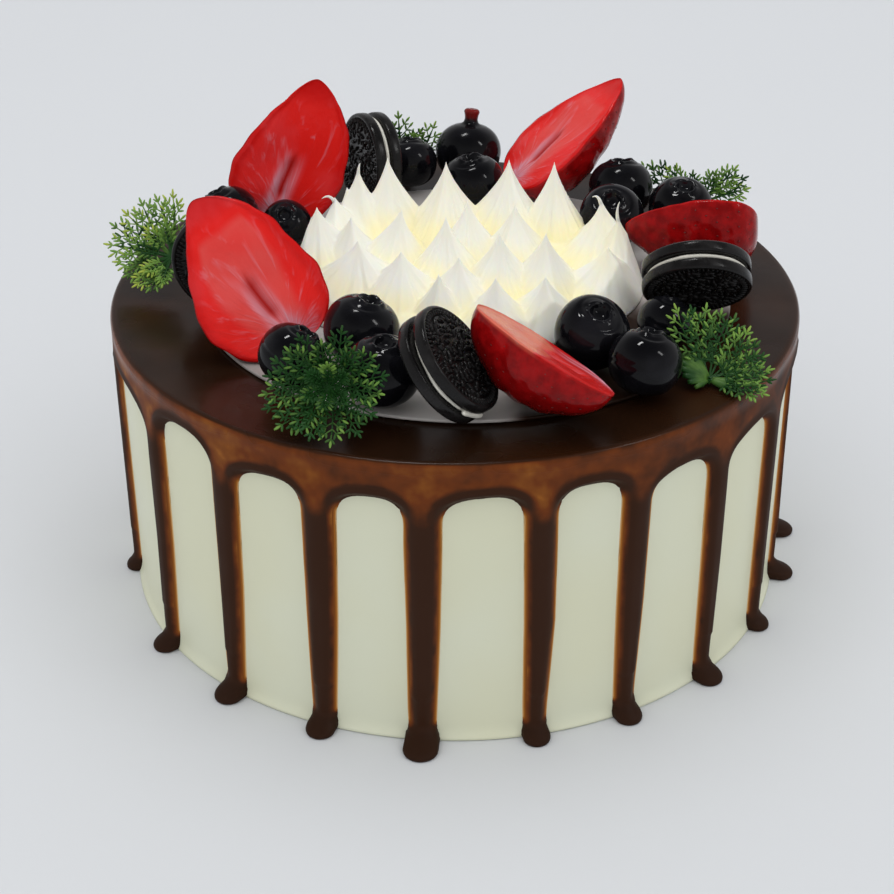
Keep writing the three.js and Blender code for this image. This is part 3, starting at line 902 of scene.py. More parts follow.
# Fine curls drawn off some tips: where each starts, and how far it goes sideways, back and up
CURLS = (
    ((-28.4, 14, 87.8), (-1.2, -0.2, 1.7), (-3.0, -0.4, 0.1)),
    ((34, 5, 91), (-0.7, -0.1, 1.9), (-2.1, -0.1, 0.9)),
    ((37.6, -1, 89.3), (-0.7, 0, 1.9), (0.1, 0, 3.9)),
    ((-23, 20, 92.2), (0.1, 0, 1.2), (0.5, 0, 2.0)),
)
MOUND_MIDDLE = (2.6, -1.0)
MOUND_RADII = (41.4, 34.2)
PEAK_FOOT = 75.2
PEAK_RADIUS = 10.2
PEAK_SHARPNESS = 0.66
TIP_ROUND = 0.2
MOUND_HEIGHT = 5.2
MOUND_EDGE = 3.4
UNION_SOFT = 0.5
CURL_RADIUS = 0.42


def from_mound(x, y):
    """How far a spot is from the middle of the mound: 1 on its edge."""
    return np.hypot((x - MOUND_MIDDLE[0]) / MOUND_RADII[0], (y - MOUND_MIDDLE[1]) / MOUND_RADII[1])


def cream_level(x, y, sizes):
    """Height of the cream over each spot, and how near the spot is to a peak's middle."""
    out = from_mound(x, y)
    level = CREAM_BED + MOUND_HEIGHT * np.clip(1 - out ** 7, 0, 1) ** 0.5
    spot = np.stack([x, y, np.zeros_like(x)], -1).reshape(-1, 3)
    level += 0.35 * ripple(spot, 9, 4).reshape(x.shape) * smooth(1.0, 0.85, out)
    nearest = np.full(x.shape, 9.0)
    for index, (px, py, top, wide, lean) in enumerate(PEAKS):
        radius = PEAK_RADIUS * wide
        start = index * 2.4
        share = np.zeros_like(x)
        # A peak that leans is found again from its own height, which settles in a few rounds
        for _ in range(4):
            dx = x - px - lean * (share ** 2 - 1)
            dy = y - py
            far = np.hypot(dx, dy)
            turn = np.arctan2(dy, dx)
            folds = np.abs(np.cos(1.5 * turn + start)) ** 3
            folds += 0.5 * np.abs(np.cos(2.5 * turn + 1.7 * start)) ** 4
            fine = np.sin(17 * turn + 5 * start) + 0.6 * np.sin(29 * turn + start)
            spread = 1 + sizes.ridge_depth * (folds - 0.55)
            wide_here = radius * (spread + 0.03 * fine * smooth(0, 0.2, far / radius))
            share = 1 + (TIP_ROUND / wide_here) ** PEAK_SHARPNESS - np.clip(
                (far + TIP_ROUND) / wide_here, 0, 1.4) ** PEAK_SHARPNESS
        height = PEAK_FOOT + (top - PEAK_FOOT) * share
        # Soft union of one peak with the rest
        gap = np.clip(1 - np.abs(height - level) / UNION_SOFT, 0, 1)
        level = np.maximum(height, level) + UNION_SOFT * gap ** 2 * 0.25
        nearest = np.minimum(nearest, far / radius)
    # The outermost peaks run down to the disc
    fall = np.clip((1 - out) * MOUND_RADII[1] / MOUND_EDGE, 0, 1)
    return CREAM_BED + (level - CREAM_BED) * np.maximum(fall, 0.01) ** 0.55, nearest


def curl_tube(start, middle, end, radius):
    """A tapered thread of cream along a bent line, as rows of points and their faces."""
    rows, sides = 9, 7
    angle = np.arange(sides) / sides * TAU
    points = []
    for share in np.linspace(0, 1, rows):
        centre = start + 2 * share * (1 - share) * middle + share ** 2 * end
        ahead = 2 * (1 - 2 * share) * middle + 2 * share * end
        ahead /= np.linalg.norm(ahead)
        side = np.cross(ahead, (0, 1, 0))
        side /= np.linalg.norm(side)
        other = np.cross(ahead, side)
        wide = radius * (1 - share) ** 0.8 + 0.07
        ring = np.cos(angle)[:, None] * side + 0.6 * np.sin(angle)[:, None] * other
        points.append(centre + wide * ring)
    ends = [[start], [points[-1].mean(0) + ahead * 0.1]]
    return np.concatenate(points + ends), closed_faces(rows, sides)


def cream_finish(looks):
    """Soft white cream with a painted glow: warmer and brighter deep between the peaks, where light
    bounces and shines through the cream.
    """
    finish = Finish("Piped Cream", 0.4, Specular_IOR_Level=0.3, Subsurface_Weight=0.25,
        Subsurface_Radius=(1.0, 0.7, 0.35), Subsurface_Scale=2.2 * MM)
    cloud = finish.swing(finish.noise(5, 2), 0.7)
    # Painted glow: gap gives the valleys a warmer, brighter colour for light that bounces between
    # the peaks and shines through
    warm = finish.math("ADD", finish.value("gap"), cloud, clamp=True)
    finish.set("Base Color", finish.mix(warm, looks.cream, looks.cream_valley_glow))
    finish.grain(1.6, 3, 0.05, 0.6)
    return finish.material


def build_cream(looks, sizes):
    """Cream pulled up in rows of peaks, with threads drawn off some of the tips."""
    columns, rows = 460, 104
    share = np.linspace(0, 1, rows)[1:]
    angle = np.arange(columns) / columns * TAU
    out = (0.985 * share ** 0.85 + 0.015 * share)[:, None]
    x = MOUND_MIDDLE[0] + MOUND_RADII[0] * out * np.cos(angle)
    y = MOUND_MIDDLE[1] + MOUND_RADII[1] * out * np.sin(angle)
    # Draws the mesh in towards each tip, and puts a point of it right on the tip
    for px, py, *_ in PEAKS:
        pull = 0.55 * np.exp(-(np.hypot(x - px, y - py) / 2.2) ** 2)
        x, y = x + (px - x) * pull, y + (py - y) * pull
        away = np.hypot(x - px, y - py)
        nearest = np.unravel_index(away.argmin(), away.shape)
        shift = np.exp(-(away / 0.6) ** 2)
        x, y = x + (px - x[nearest]) * shift, y + (py - y[nearest]) * shift
    level, beside = cream_level(x, y, sizes)
    points = np.stack([x, y, level], -1)
    low = points[-1] * (1, 1, 0) + (0, 0, CREAM_BED)
    centre = np.array([[*MOUND_MIDDLE, 0.0]])
    middle_level, _ = cream_level(centre[:, 0], centre[:, 1], sizes)
    points = np.concatenate([points.reshape(-1, 3), low,
        centre + (0, 0, middle_level[0]), centre + (0, 0, CREAM_BED)])
    x, y, z = points.T
    valley = np.concatenate([beside.reshape(-1), np.ones(columns + 2)])
    # Painted glow: low between the peaks the cream takes the warmer, brighter valley colour, for
    # light bouncing and shining through it there
    gap = smooth(0.3, 0.85, valley) * smooth(92, 80, z)
    # The cream on the right is coloured warmer as well, below its tips, through the same valley mix
    gap = np.maximum(gap, 0.45 * smooth(18, 40, x) * smooth(93, 84, z))
    gap *= smooth(0.97, 0.8, from_mound(x, y))
    parts = [make_piece("cream_peak_field", points, closed_faces(rows, columns), {"gap": gap})]
    for index, (start, middle, end) in enumerate(CURLS):
        # The thread starts inside its peak and ends a little higher than it is drawn
        tube, faces = curl_tube(np.array(start) - (0, 0, 1.0), np.array(middle) + (0, 0, 0.8),
            np.array(end) + (0, 0, 1.0), CURL_RADIUS)
        parts.append(make_piece(f"cream_curl_{index}", tube, faces, {"gap": np.zeros(len(tube))}))
    for part in parts:
        face_outward(part)
    piece = join_piece("piped_cream", parts)
    return finish_piece(piece, ["cream_peaks"], cream_finish(looks))


# Strawberries

# Each strawberry half: its node, length, width and depth, where it is fullest, how blunt, how far
# aside its middle line lies at each quarter of its length, then its middle, the way its cut face
# looks, the way to its tip, and how pale its tip is
STRAWBERRIES = (
    ("strawberry_back_left", (38.9, 27.2, 11), 0.65, 0.62, (-1.6, -1.7, 0.2, 1.8, 1.8),
        (-39.1, 33, 91.2), (-0.05, -0.98, 0.15), (0.235, 0.15, 0.955), 0.0),
    ("strawberry_left", (39, 28.2, 9.5), 0.65, 0.58, (0, -1.0, -0.9, 0.6, 0),
        (-44.9, -30.1, 89.4), (0, -0.857, 0.515), (-0.61, 0.408, 0.68), 0.42),
    ("strawberry_back_right", (38.4, 28.4, 12.8), 0.65, 0.6, (0, -1.2, -1.2, -0.2, 0.4),
        (28.1, 53.6, 89.4), (-0.6, -0.18, 0.776), (0.73, 0.265, 0.626), 0.36),
    ("strawberry_right", (31, 24, 11), 0.65, 0.5, (0, 0, 0, 0, 0),
        (55.7, 8.3, 83.2), (0.05, 0.8, 0.6), (-0.965, -0.06, -0.22), 0.0),
    ("strawberry_front", (33, 23.8, 12.2), 1.02, 0.46, (-5.5, -3, -1.8, -0.6, 0),
        (18.6, -58.9, 85.95), (0.516, 0.233, 0.823), (-0.848, 0.27, 0.455), 1.0),
)
QUARTERS = (0, 0.25, 0.5, 0.75, 1)


def middle_line(share, bends):
    """How far aside a strawberry's middle line lies, on a smooth curve through its bends."""
    return np.polyval(np.polyfit(QUARTERS, bends, 4), share)


def swelling(share, size, fullest, blunt):
    """How wide a strawberry is at each share of its length, with slight waves along its edge."""
    share = np.clip(share, 0, 1)
    waves = 0.012 * np.sin(19 * share + size[0]) + 0.01 * np.sin(37 * share + 3 * size[1])
    return np.sin(np.pi * share ** fullest) ** blunt * (1 + waves)


def skin_spot(share, angle, size, fullest, blunt, bends):
    """A point on a strawberry's skin: its share of the way to the tip, and its angle round from
    one edge of the cut to the other."""
    long, wide, deep = size
    swell = swelling(share, size, fullest, blunt)
    return np.stack([
        0.5 * wide * swell * np.cos(angle) + middle_line(share, bends),
        long * (share - 0.5),
        -deep * swell * np.sin(angle),
    ], -1)


def seed_spots(size, fullest, blunt, bends, spacing):
    """Where the seeds sit: staggered rows round the skin, evenly spaced along it."""
    long, wide, deep = size
    spots, outward, tipward = [], [], []
    rows = int(long / (0.72 * spacing))
    for row in range(rows):
        share = (row + 0.75) / (rows + 0.5)
        swell = math.sin(math.pi * share ** fullest) ** blunt
        arc = math.pi * swell * (wide / 2 + deep) / 2
        count = max(1, round(arc / spacing))
        for step in range(count):
            angle = math.pi * (step + (0.25 if row % 2 else 0.75)) / count
            if angle > 0.97 * math.pi or angle < 0.03 * math.pi:
                continue
            spot = skin_spot(share, angle, size, fullest, blunt, bends)
            tip = skin_spot(share + 0.01, angle, size, fullest, blunt, bends) - spot
            side = skin_spot(share, angle + 0.02, size, fullest, blunt, bends) - spot
            normal = np.cross(tip, side)
            normal /= np.linalg.norm(normal)
            if np.dot(normal, spot - (0, spot[1], 0)) < 0:
                normal = -normal
            spots.append(spot)
            outward.append(normal)
            tipward.append(tip / np.linalg.norm(tip))
    return np.array(spots), np.array(outward), np.array(tipward)


def strawberry_finish(looks):
    """Red skin with a thin gloss, and a cut face with pale fibres that fan out from its core."""
    finish = Finish("Strawberry", 0.2, Specular_IOR_Level=0.13)
    cut, core, slit = finish.value("cut"), finish.value("core"), finish.value("slit")
    fan, far, bloom = finish.value("fan"), finish.value("far"), finish.value("bloom")
    along = finish.out("ShaderNodeCombineXYZ", {
        0: finish.times(fan, 22.0), 1: finish.times(far, 2.6),
    })
    fibres = finish.out("ShaderNodeTexNoise", {
        "Vector": along, "Scale": 1.0, "Detail": 3.0, "Roughness": 0.6, "Distortion": 0.4,
    })
    cloud = finish.noise(7, 3)
    flesh, pale, skin = looks.flesh, looks.core, looks.skin
    # The cut face: its rim, fibres, clouds, core, unripe part and slit, each over the one before
    face = finish.mix(finish.map(far, 0.72, 1.0), flesh, shade(flesh, (0.78, 0.25, 0.25)))
    streaks = finish.times(finish.map(fibres, 0.53, 0.72), finish.map(far, 1.0, 0.4, 0.05, 0.9))
    face = finish.mix(streaks, face, blend((0.55, flesh), (0.45, pale)))
    blotch = finish.times(finish.map(cloud, 0.45, 0.75), 0.25)
    face = finish.mix(blotch, face, blend((0.8, flesh), (0.2, pale)))
    face = finish.mix(finish.times(core, finish.map(fibres, 0.3, 0.65, 0.35, 1.0)), face, pale)
    pinkish = blend((0.35, flesh), (0.2, pale), (0.45, looks.salmon))
    unripe = finish.mix(finish.map(bloom, 0.6, 0.9), pinkish, looks.salmon)
    face = finish.mix(finish.times(bloom, finish.map(cloud, 0.2, 0.6, 0.55, 0.95)), face, unripe)
    # Painted shade: the slit sunk over the core is darkened for the shade in its hollow; on the
    # front strawberry the same mix also darkens its riper flesh, which is its own colour
    face = finish.mix(slit, face, shade(flesh, 0.5))
    dots = finish.map(finish.noise(1.7, 3), 0.3, 0.7)
    outside = finish.mix(dots, shade(skin, 0.75), shade(skin, 1.3, 0.001))
    # Painted shade: the front strawberry's skin is darkened underneath, by what core holds on its
    # skin
    outside = finish.mix(finish.times(core, 0.7), outside, shade(skin, 0.3))
    finish.set("Base Color", finish.mix(cut, outside, face))
    finish.set("Roughness", finish.map(cut, 0, 1, 0.16, 0.27))
    finish.bump(finish.times(fibres, cut), 0.34, 0.7)
    finish.grain(2.2, 3, 0.16, 0.7, 0.6)
    return finish.material


def seed_finish(looks):
    """Dull dark red."""
    finish = Finish("Strawberry Seed", 0.5)
    finish.set("Base Color", finish.mix(finish.noise(1.5, 1), looks.seed, shade(looks.seed, 0.6)))
    return finish.material


def seed_tree():
    """Sets a small pointed seed into the skin at each point, with its tip along the fruit."""
    tree = Tree("Seeds In Skin", [
        ("Seed Length", "Float", 0.0016),
        ("Seed Width", "Float", 0.001),
        ("Seed Height", "Float", 0.0004),
        ("Material", "Material", None),
    ])
    given = tree.given
    seed = tree.bead((given["Seed Width"], given["Seed Length"], given["Seed Height"]))
    return tree.end(tree.out("GeometryNodeInstanceOnPoints", {
        "Points": given["Geometry"], "Instance": seed, "Rotation": tree.aimed("Z"),
    }))


STRAWBERRY_ROWS = 74
CUT_STEPS = 34
SKIN_STEPS = 46


def build_strawberry(index, sizes, skin_look, seed_look, seeds_tree):
    """One half: a ring of points across the cut face and back round the skin in each row."""
    node, size, fullest, blunt, bends, place, facing, along, bloom = STRAWBERRIES[index]
    long, wide, _ = size
    spots, outward, tipward = seed_spots(size, fullest, blunt, bends, sizes.seed_spacing / MM)
    share = (1 - np.cos(np.linspace(0, np.pi, STRAWBERRY_ROWS + 2)[1:-1]))[:, None] / 2
    side = 0.5 * np.sin(np.linspace(-90, 90, CUT_STEPS + 1) * DEG)
    side += 0.5 * np.linspace(-1, 1, CUT_STEPS + 1)
    core_line = middle_line(share, bends)
    x = 0.5 * wide * swelling(share, size, fullest, blunt) * side + core_line
    y = np.broadcast_to(long * (share - 0.5), x.shape)
    # The cut face: a slit over the core, and a soft hollow round it
    slit_along = smooth(0.15, 0.25, share) * smooth(0.54, 0.42, share)
    slit = np.exp(-((x - core_line) / (0.35 + 0.75 * slit_along)) ** 2) * slit_along
    wave = ripple(np.stack([x, y, np.zeros_like(x) + index * 30], -1).reshape(-1, 3), 8, 21)
    z = -0.8 * slit + 0.36 * wave.reshape(x.shape) * (1 - side ** 4)
    z += 0.3 * np.exp(-((np.abs(side) - 0.91) / 0.05) ** 2) - 0.25 * side ** 8
    angle = np.linspace(0, np.pi, SKIN_STEPS + 1)
    skin = skin_spot(*np.broadcast_arrays(share, angle), size, fullest, blunt, bends)
    skin[..., 2] -= 0.25 * np.exp(-(np.sin(angle) / 0.1) ** 2)
    # The skin: soft lumps, and a pit at each seed
    flat = skin.reshape(-1, 3)
    gap = np.linalg.norm(flat[:, None] - spots[None], axis=-1)
    away = flat * (1, 0, 1)
    away /= np.maximum(np.linalg.norm(away, axis=1), 1e-6)[:, None]
    pit = sizes.pit_depth / MM * np.exp(-(gap.min(1) / 0.95) ** 2)
    lumps = 0.22 * ripple(flat + index * 17, 7, 31)
    fade = smooth(0, 0.3, np.sin(np.pi * share ** fullest)).repeat(SKIN_STEPS + 1)
    skin = (flat + away * ((lumps - pit) * fade)[:, None]).reshape(skin.shape)
    # The cut face's edges are the skin's first and last points
    cut = np.stack([x, y, z], -1)[:, 1:-1]
    ring = np.concatenate([skin[:, -1:], cut, skin[:, :-1]], 1)
    columns = ring.shape[1]
    stem = [[bends[0], -0.5 * long, -0.2]]
    tip = [[bends[-1], 0.5 * long, -0.2]]
    points = np.concatenate([ring.reshape(-1, 3), stem, tip])

    def over_ring(cut_values):
        """Values for whole rings, from those of the cut face, with 0 on the skin."""
        grid = np.zeros((STRAWBERRY_ROWS, columns))
        grid[:, :CUT_STEPS + 1] = cut_values
        return grid

    def with_ends(grid, stem_value, tip_value):
        return np.concatenate([grid.reshape(-1), [stem_value, tip_value]])

    on_cut = over_ring(1.0)
    on_cut[:, [0, CUT_STEPS]] = 0.35
    u = over_ring(np.abs(side))
    far = np.maximum(u, smooth(0.45, 1.0, share))
    half_pale = smooth(0.47, 0.53, share + 0.06 * np.sin(4 * u))
    # The front strawberry is pale along its far edge rather than in the middle
    pale_line = np.abs(x - core_line - (6.5 if bloom == 1 else 0))
    pale = np.exp(-((pale_line - 1.5) / 1.1) ** 2) * smooth(0.55, 0.3, share)
    pale += (0.9 - 0.3 * bloom) * np.exp(-(pale_line / 4.6) ** 2) * smooth(0.24, 0.04, share)
    core = over_ring(np.clip(pale, 0, 1))
    slits = over_ring(slit)
    if bloom == 1:
        # Its skin is painted darker underneath, as painted shade, and its flesh is darker where it
        # is ripe
        core[:, CUT_STEPS + 1:] = smooth(0.3, 0.9, np.sin(angle[1:-1]))
        slits = np.maximum(slits, 0.55 * (1 - half_pale) * (1 - core))
        blooms = half_pale
    else:
        blooms = bloom * smooth(0.62, 0.46, far + 0.1 * np.sin(5 * share + 2 * u))
        blooms *= smooth(0, 0.25, share)
    values = {
        "cut": with_ends(on_cut, 0.3, 0.3),
        "fan": np.arctan2(points[:, 0], points[:, 1] + 0.44 * long) / np.pi,
        "far": with_ends(far, 0.6, 1.0),
        "core": with_ends(core, 1, 0),
        "slit": with_ends(slits, 0, 0),
        "bloom": with_ends(blooms, 0, bloom),
    }
    fruit = make_piece(node + "_fruit", set_down(points, place, facing, along),
        closed_faces(STRAWBERRY_ROWS, columns), values)
    face_outward(fruit)
    fruit.data.materials.append(skin_look)
    turn = axes_from(facing, along)
    sunk = spots - outward * (sizes.pit_depth / MM * 0.72)
    seeds = make_piece(node + "_seeds", set_down(sunk, place, facing, along),
        values={"out": outward @ turn, "aim": tipward @ turn})
    grow(seeds, seeds_tree, {
        "Seed Length": sizes.seed_long,
        "Seed Width": 0.58 * sizes.seed_long,
        "Seed Height": 0.3 * sizes.seed_long,
        "Material": seed_look,
    })
    piece = join_piece(node + "_half", [fruit, seeds])
    return finish_piece(piece, [node])


def build_strawberries(looks, sizes):
    skin_look, seed_look, tree = strawberry_finish(looks), seed_finish(looks), seed_tree()
    for index in range(len(STRAWBERRIES)):
        build_strawberry(index, sizes, skin_look, seed_look, tree)


# Blueberries

# Each blueberry: its node's ending, middle, radius and the way its crown looks
BLUEBERRIES = (
    ("left_back", (-55.1, 23.4, 79.3), 7.6, (-0.41, 0.12, 0.9)),
    ("left_inner", (-40.7, 20.7, 78.1), 6.1, (-0.03, -0.64, 0.77)),
    ("front_inner", (-20.1, -38.8, 79.8), 8.3, (0.31, 0.11, 0.95)),
    ("front_left", (-34.2, -49.6, 79.2), 7.3, (0.56, 0.14, 0.82)),
    ("front_outer", (-14.9, -56.6, 79.4), 8.2, (0.09, -0.08, 0.99)),
    ("right_inner", (29.3, -40.4, 80), 8.2, (0.2, -0.4, 0.9)),
    ("right_front", (39.8, -52, 79), 7.8, (0.17, 0.24, 0.95)),
    ("right_low", (46, -31.2, 77.9), 6.1, (0.3, 0.2, 0.93)),
    ("back_right_outer", (41.8, 40.6, 79.2), 8.1, (0, 0.2, 0.98)),
    ("back_right_inner", (38.1, 21.4, 79.8), 7.9, (-0.05, -0.52, 0.85)),
    ("back_right_end", (55.5, 27.5, 79.4), 7.9, (0.07, -0.28, 0.96)),
    ("back_outer", (3.6, 64, 79.6), 8.6, (0.09, 0.17, 0.98)),
    ("back_inner", (4.6, 43.4, 79.3), 8.1, (-0.08, 0, 1)),
    ("back_middle", (-11.6, 58.4, 78.9), 7.1, (0, 0.18, 0.98)),
)
WITH_STEM = "back_outer"
BERRY_PROFILE = (
    (0, -0.86), (0.3, -0.835), (0.6, -0.74), (0.82, -0.55), (0.95, -0.3), (1, 0.02), (0.96, 0.28),
    (0.86, 0.5), (0.7, 0.68), (0.53, 0.785), (0.4, 0.84), (0.33, 0.88), (0.27, 0.86), (0.22, 0.77),
    (0.13, 0.7), (0, 0.69),
)
STEM_PROFILE = BERRY_PROFILE[:9] + (
    (0.5, 0.8), (0.34, 0.85), (0.24, 0.9), (0.2, 1.0), (0.21, 1.13), (0.24, 1.24), (0.18, 1.31),
    (0.08, 1.32), (0, 1.3),
)
BERRY_ROWS = 60
BERRY_COLUMNS = 56


def rounded_line(corners, count):
    """A smooth curve through points, at evenly spaced distances along it."""
    corners = np.array(corners, float)
    before = 2 * corners[0] - corners[1]
    after = 2 * corners[-1] - corners[-2]
    padded = np.concatenate([[before], corners, [after]])
    t = np.linspace(0, 1, 14, endpoint=False)[:, None]
    curve = []
    for a, b, c, d in zip(padded, padded[1:], padded[2:], padded[3:]):
        curve.append(0.5 * (2 * b + (c - a) * t + (2 * a - 5 * b + 4 * c - d) * t ** 2
            + (3 * b - a - 3 * c + d) * t ** 3))
    curve = np.concatenate(curve + [corners[-1:]])
    steps = np.concatenate([[0], np.cumsum(np.linalg.norm(np.diff(curve, axis=0), axis=1))])
    at = np.linspace(0, steps[-1], count)
    return np.stack([np.interp(at, steps, values) for values in curve.T], 1)


def blueberry_finish(looks):
    """Glossy blue-black skin, with a red stem."""
    finish = Finish("Blueberry", 0.12, Specular_IOR_Level=0.16)
    cloud = finish.map(finish.noise(6, 3), 0.4, 0.75)
    skin = finish.mix(cloud, looks.berry, shade(looks.berry, 2.4, 0.002))
    finish.set("Base Color", finish.mix(finish.value("stem"), skin, looks.stem))
    finish.set("Roughness", finish.wander(3.5, 3, 0.05, 0.16))
    finish.grain(4.5, 1, 0.12, 0.6)
    return finish.material


def build_blueberry(index, look, sizes):
    ending, place, radius, crown = BLUEBERRIES[index]
    stem = ending == WITH_STEM
    line = rounded_line(STEM_PROFILE if stem else BERRY_PROFILE, BERRY_ROWS)
    turn = np.arange(BERRY_COLUMNS) / BERRY_COLUMNS * TAU
    across, up = (values[1:-1, None].repeat(BERRY_COLUMNS, 1) for values in line.T)
    across = np.maximum(across, 0)
    start = index * 1.3
    # Five uneven lobes round the crown, and a creased line part of the way round the middle
    if not stem:
        lobes = np.abs(np.cos(2.5 * turn + start)) ** 0.7 + 0.3 * np.sin(3 * turn + 2 * start)
        at_rim = np.exp(-((across - 0.32) / 0.1) ** 2) * (up > 0.6)
        up = up + sizes.crown_height * (lobes - 0.55) * at_rim
        across = across + 0.05 * (lobes - 0.6) * at_rim
        fold = np.exp(-((across - 0.5 - 0.06 * np.sin(2 * turn + start)) / 0.05) ** 2) * (up > 0.5)
        up = up - 0.045 * fold * (0.6 + 0.4 * np.sin(3 * turn + start))
    crease_level = -0.02 + 0.07 * np.sin(turn + start) + 0.04 * np.sin(3 * turn + 2 * start)
    crease = np.exp(-((up - crease_level) / 0.045) ** 2) * (across > 0.8)
    patch = smooth(-0.3, 0.5, np.sin(turn + 2.1 * start) + 0.5 * np.sin(2 * turn + start))
    across = across * (1 - sizes.crease_depth * crease * patch)
    points = np.stack([across * np.cos(turn), across * np.sin(turn), up], -1).reshape(-1, 3)
    points = np.concatenate([points, [[0, 0, line[0, 1]], [0, 0, line[-1, 1]]]])
    points *= 1 + 0.016 * ripple(points * 10 + index * 13, 11, 41 + index)[:, None]
    stems = smooth(0.98, 1.15, points[:, 2]) * stem
    piece = make_piece(f"blueberry_{ending}_fruit",
        set_down(points * radius, place, crown, (1, 0, 0)),
        closed_faces(BERRY_ROWS - 2, BERRY_COLUMNS), {"stem": stems})
    face_outward(piece)
    return finish_piece(piece, [f"blueberry_{ending}"], look)


def build_blueberries(looks, sizes):
    look = blueberry_finish(looks)
    for index in range(len(BLUEBERRIES)):
        build_blueberry(index, look, sizes)


# Cookies

# Each cookie's node, middle and the way that its front face looks
COOKIES = (
    ("cookie_back_left", (-21, 44.5, 84.8), (-0.9, -0.42, 0.1)),
    ("cookie_left", (-51.2, -13.2, 84.8), (-0.1, -0.99, 0)),
    ("cookie_front", (-1.2, -61.6, 83.6), (0.76, -0.13, 0.63)),
    ("cookie_right", (53.7, -20.3, 83.5), (0, -0.766, -0.643)),
)
WAFER_THICK = 2.75
COOKIE_HALF = 3.5
WAFER_PROFILE = (
    (0, 0), (6, 0), (11.6, 0), (11.95, 0.1), (12.15, 0.35), (12.2, 0.8), (12.2, 1.5), (12.17, 2.0),
    (12.05, 2.35), (11.8, 2.6), (11.45, 2.68), (11.2, 2.6), (11.0, 2.42), (10.7, 2.34), (8, 2.36),
    (4, 2.36), (0, 2.36),
)
FILLING_SIDE = ((0, 0.72), (6, 0.72), (10.5, 0.7), (11.0, 0.4), (11.2, 0.24))
# Where the pressed-out filling sits on its cookie, and half its length
SQUEEZE_PLACE = (0, -11.75, 0.5)
SQUEEZE_HALF = 3.7


def wafer_finish(looks):
    """Nearly black, with dull and glossy patches and a fine grain."""
    finish = Finish("Cookie Wafer", 0.3, Specular_IOR_Level=0.2)
    cloud = finish.map(finish.noise(4, 4, 0.6), 0.42, 0.8)
    finish.set("Base Color", finish.mix(cloud, looks.wafer, shade(looks.wafer, 2.6)))
    finish.set("Roughness", finish.wander(2, 3, 0.15, 0.36))
    finish.grain(0.7, 3, 0.04, 0.6, 0.6)
    return finish.material


def filling_finish(looks):
    """Off-white, slightly uneven."""
    finish = Finish("Cookie Filling", 0.45)
    cloud = finish.noise(3, 2)
    finish.set("Base Color", finish.mix(cloud, looks.filling, shade(looks.filling, 0.88)))
    finish.grain(0.9, 3, 0.04, 0.5)
    return finish.material


def wafer_tree():
    """Adds a ring of short ribs inside a wafer's rim, and grains scattered over its face."""
    tree = Tree("Wafer Relief", [
        ("Ribs", "Int", 64),
        ("Rib Ring", "Float", 0.0104),
        ("Rib Length", "Float", 0.0017),
        ("Rib Width", "Float", 0.0006),
        ("Face Height", "Float", 0.00236),
        ("Relief Height", "Float", 0.0005),
        ("Grain Ring", "Float", 0.0092),
        ("Grain Gap", "Float", 0.0011),
        ("Grain Size", "Float", 0.0012),
        ("Seed", "Int", 1),
        ("Material", "Material", None),
    ])
    given = tree.given
    ring = tree.out("GeometryNodeMeshCircle",
        {"Vertices": given["Ribs"], "Radius": given["Rib Ring"]})
    outward = tree.out("FunctionNodeAlignRotationToVector",
        {"Vector": tree.out("GeometryNodeInputPosition")}, axis="X")
    rib = tree.bead((given["Rib Length"], given["Rib Width"],
        tree.math("MULTIPLY", given["Relief Height"], 1.7)), 8, 5)
    ribs = tree.out("GeometryNodeInstanceOnPoints",
        {"Points": ring, "Instance": rib, "Rotation": outward})
    disc = tree.out("GeometryNodeMeshCircle",
        {"Vertices": 48, "Radius": given["Grain Ring"]}, fill_type="NGON")
    scatter = tree.out("GeometryNodeDistributePointsOnFaces", {
        "Mesh": disc, "Distance Min": given["Grain Gap"], "Density Max": 2.5e6,
        "Seed": given["Seed"],
    }, distribute_method="POISSON")
    grain = tree.bead((given["Grain Size"], given["Grain Size"],
        tree.math("MULTIPLY", given["Relief Height"], 2.2)))
    grains = tree.out("GeometryNodeInstanceOnPoints", {
        "Points": scatter,
        "Instance": grain,
        "Rotation": tree.random((-0.2, -0.2, -3.1), (0.2, 0.2, 3.1),
            tree.math("ADD", given["Seed"], 7)),
        "Scale": tree.random((0.7, 0.35, 0.6), (1.6, 0.6, 1.1), given["Seed"]),
    })
    lift = tree.out("ShaderNodeCombineXYZ", {2: given["Face Height"]})
    raised = tree.out("GeometryNodeTransform",
        {"Geometry": tree.together(ribs, grains), "Translation": lift})
    return tree.end(tree.together(raised, given["Geometry"]))


def place_matrix(place, facing, along):
    """The turn and move that set a topping down, as a matrix in metres."""
    turn = Matrix([list(row) for row in axes_from(facing, along).T])
    return Matrix.Translation(Vector(place) * MM) @ turn.to_4x4()


def build_squeeze(bearing, look):
    """The bit of filling that has been pressed out of the front cookie at its lower edge."""
    rows, sides = 15, 12
    angle = np.arange(sides) / sides * TAU
    points = []
    for row in range(1, rows):
        share = row / rows
        wide = math.sin(math.pi * share) ** 0.7 * (1 + 0.22 * math.sin(7 * share))
        middle = (SQUEEZE_HALF * math.cos(math.pi * share), 0.35 * math.sin(5 * share),
            0.15 * math.cos(6 * share))
        ring = np.stack([np.zeros(sides), 1.1 * np.cos(angle), 0.8 * np.sin(angle)], 1)
        points.append(middle + wide * ring)
    ends = [[[SQUEEZE_HALF, 0, 0.15]], [[-SQUEEZE_HALF, 0.2, 0.1]]]
    piece = make_piece("filling_squeeze", np.concatenate(points + ends),
        closed_faces(rows - 1, sides))
    face_outward(piece)
    piece.data.transform(Matrix.Rotation(bearing, 4, "Z")
        @ Matrix.Translation(Vector(SQUEEZE_PLACE) * MM))
    piece.data.materials.append(look)
    return piece


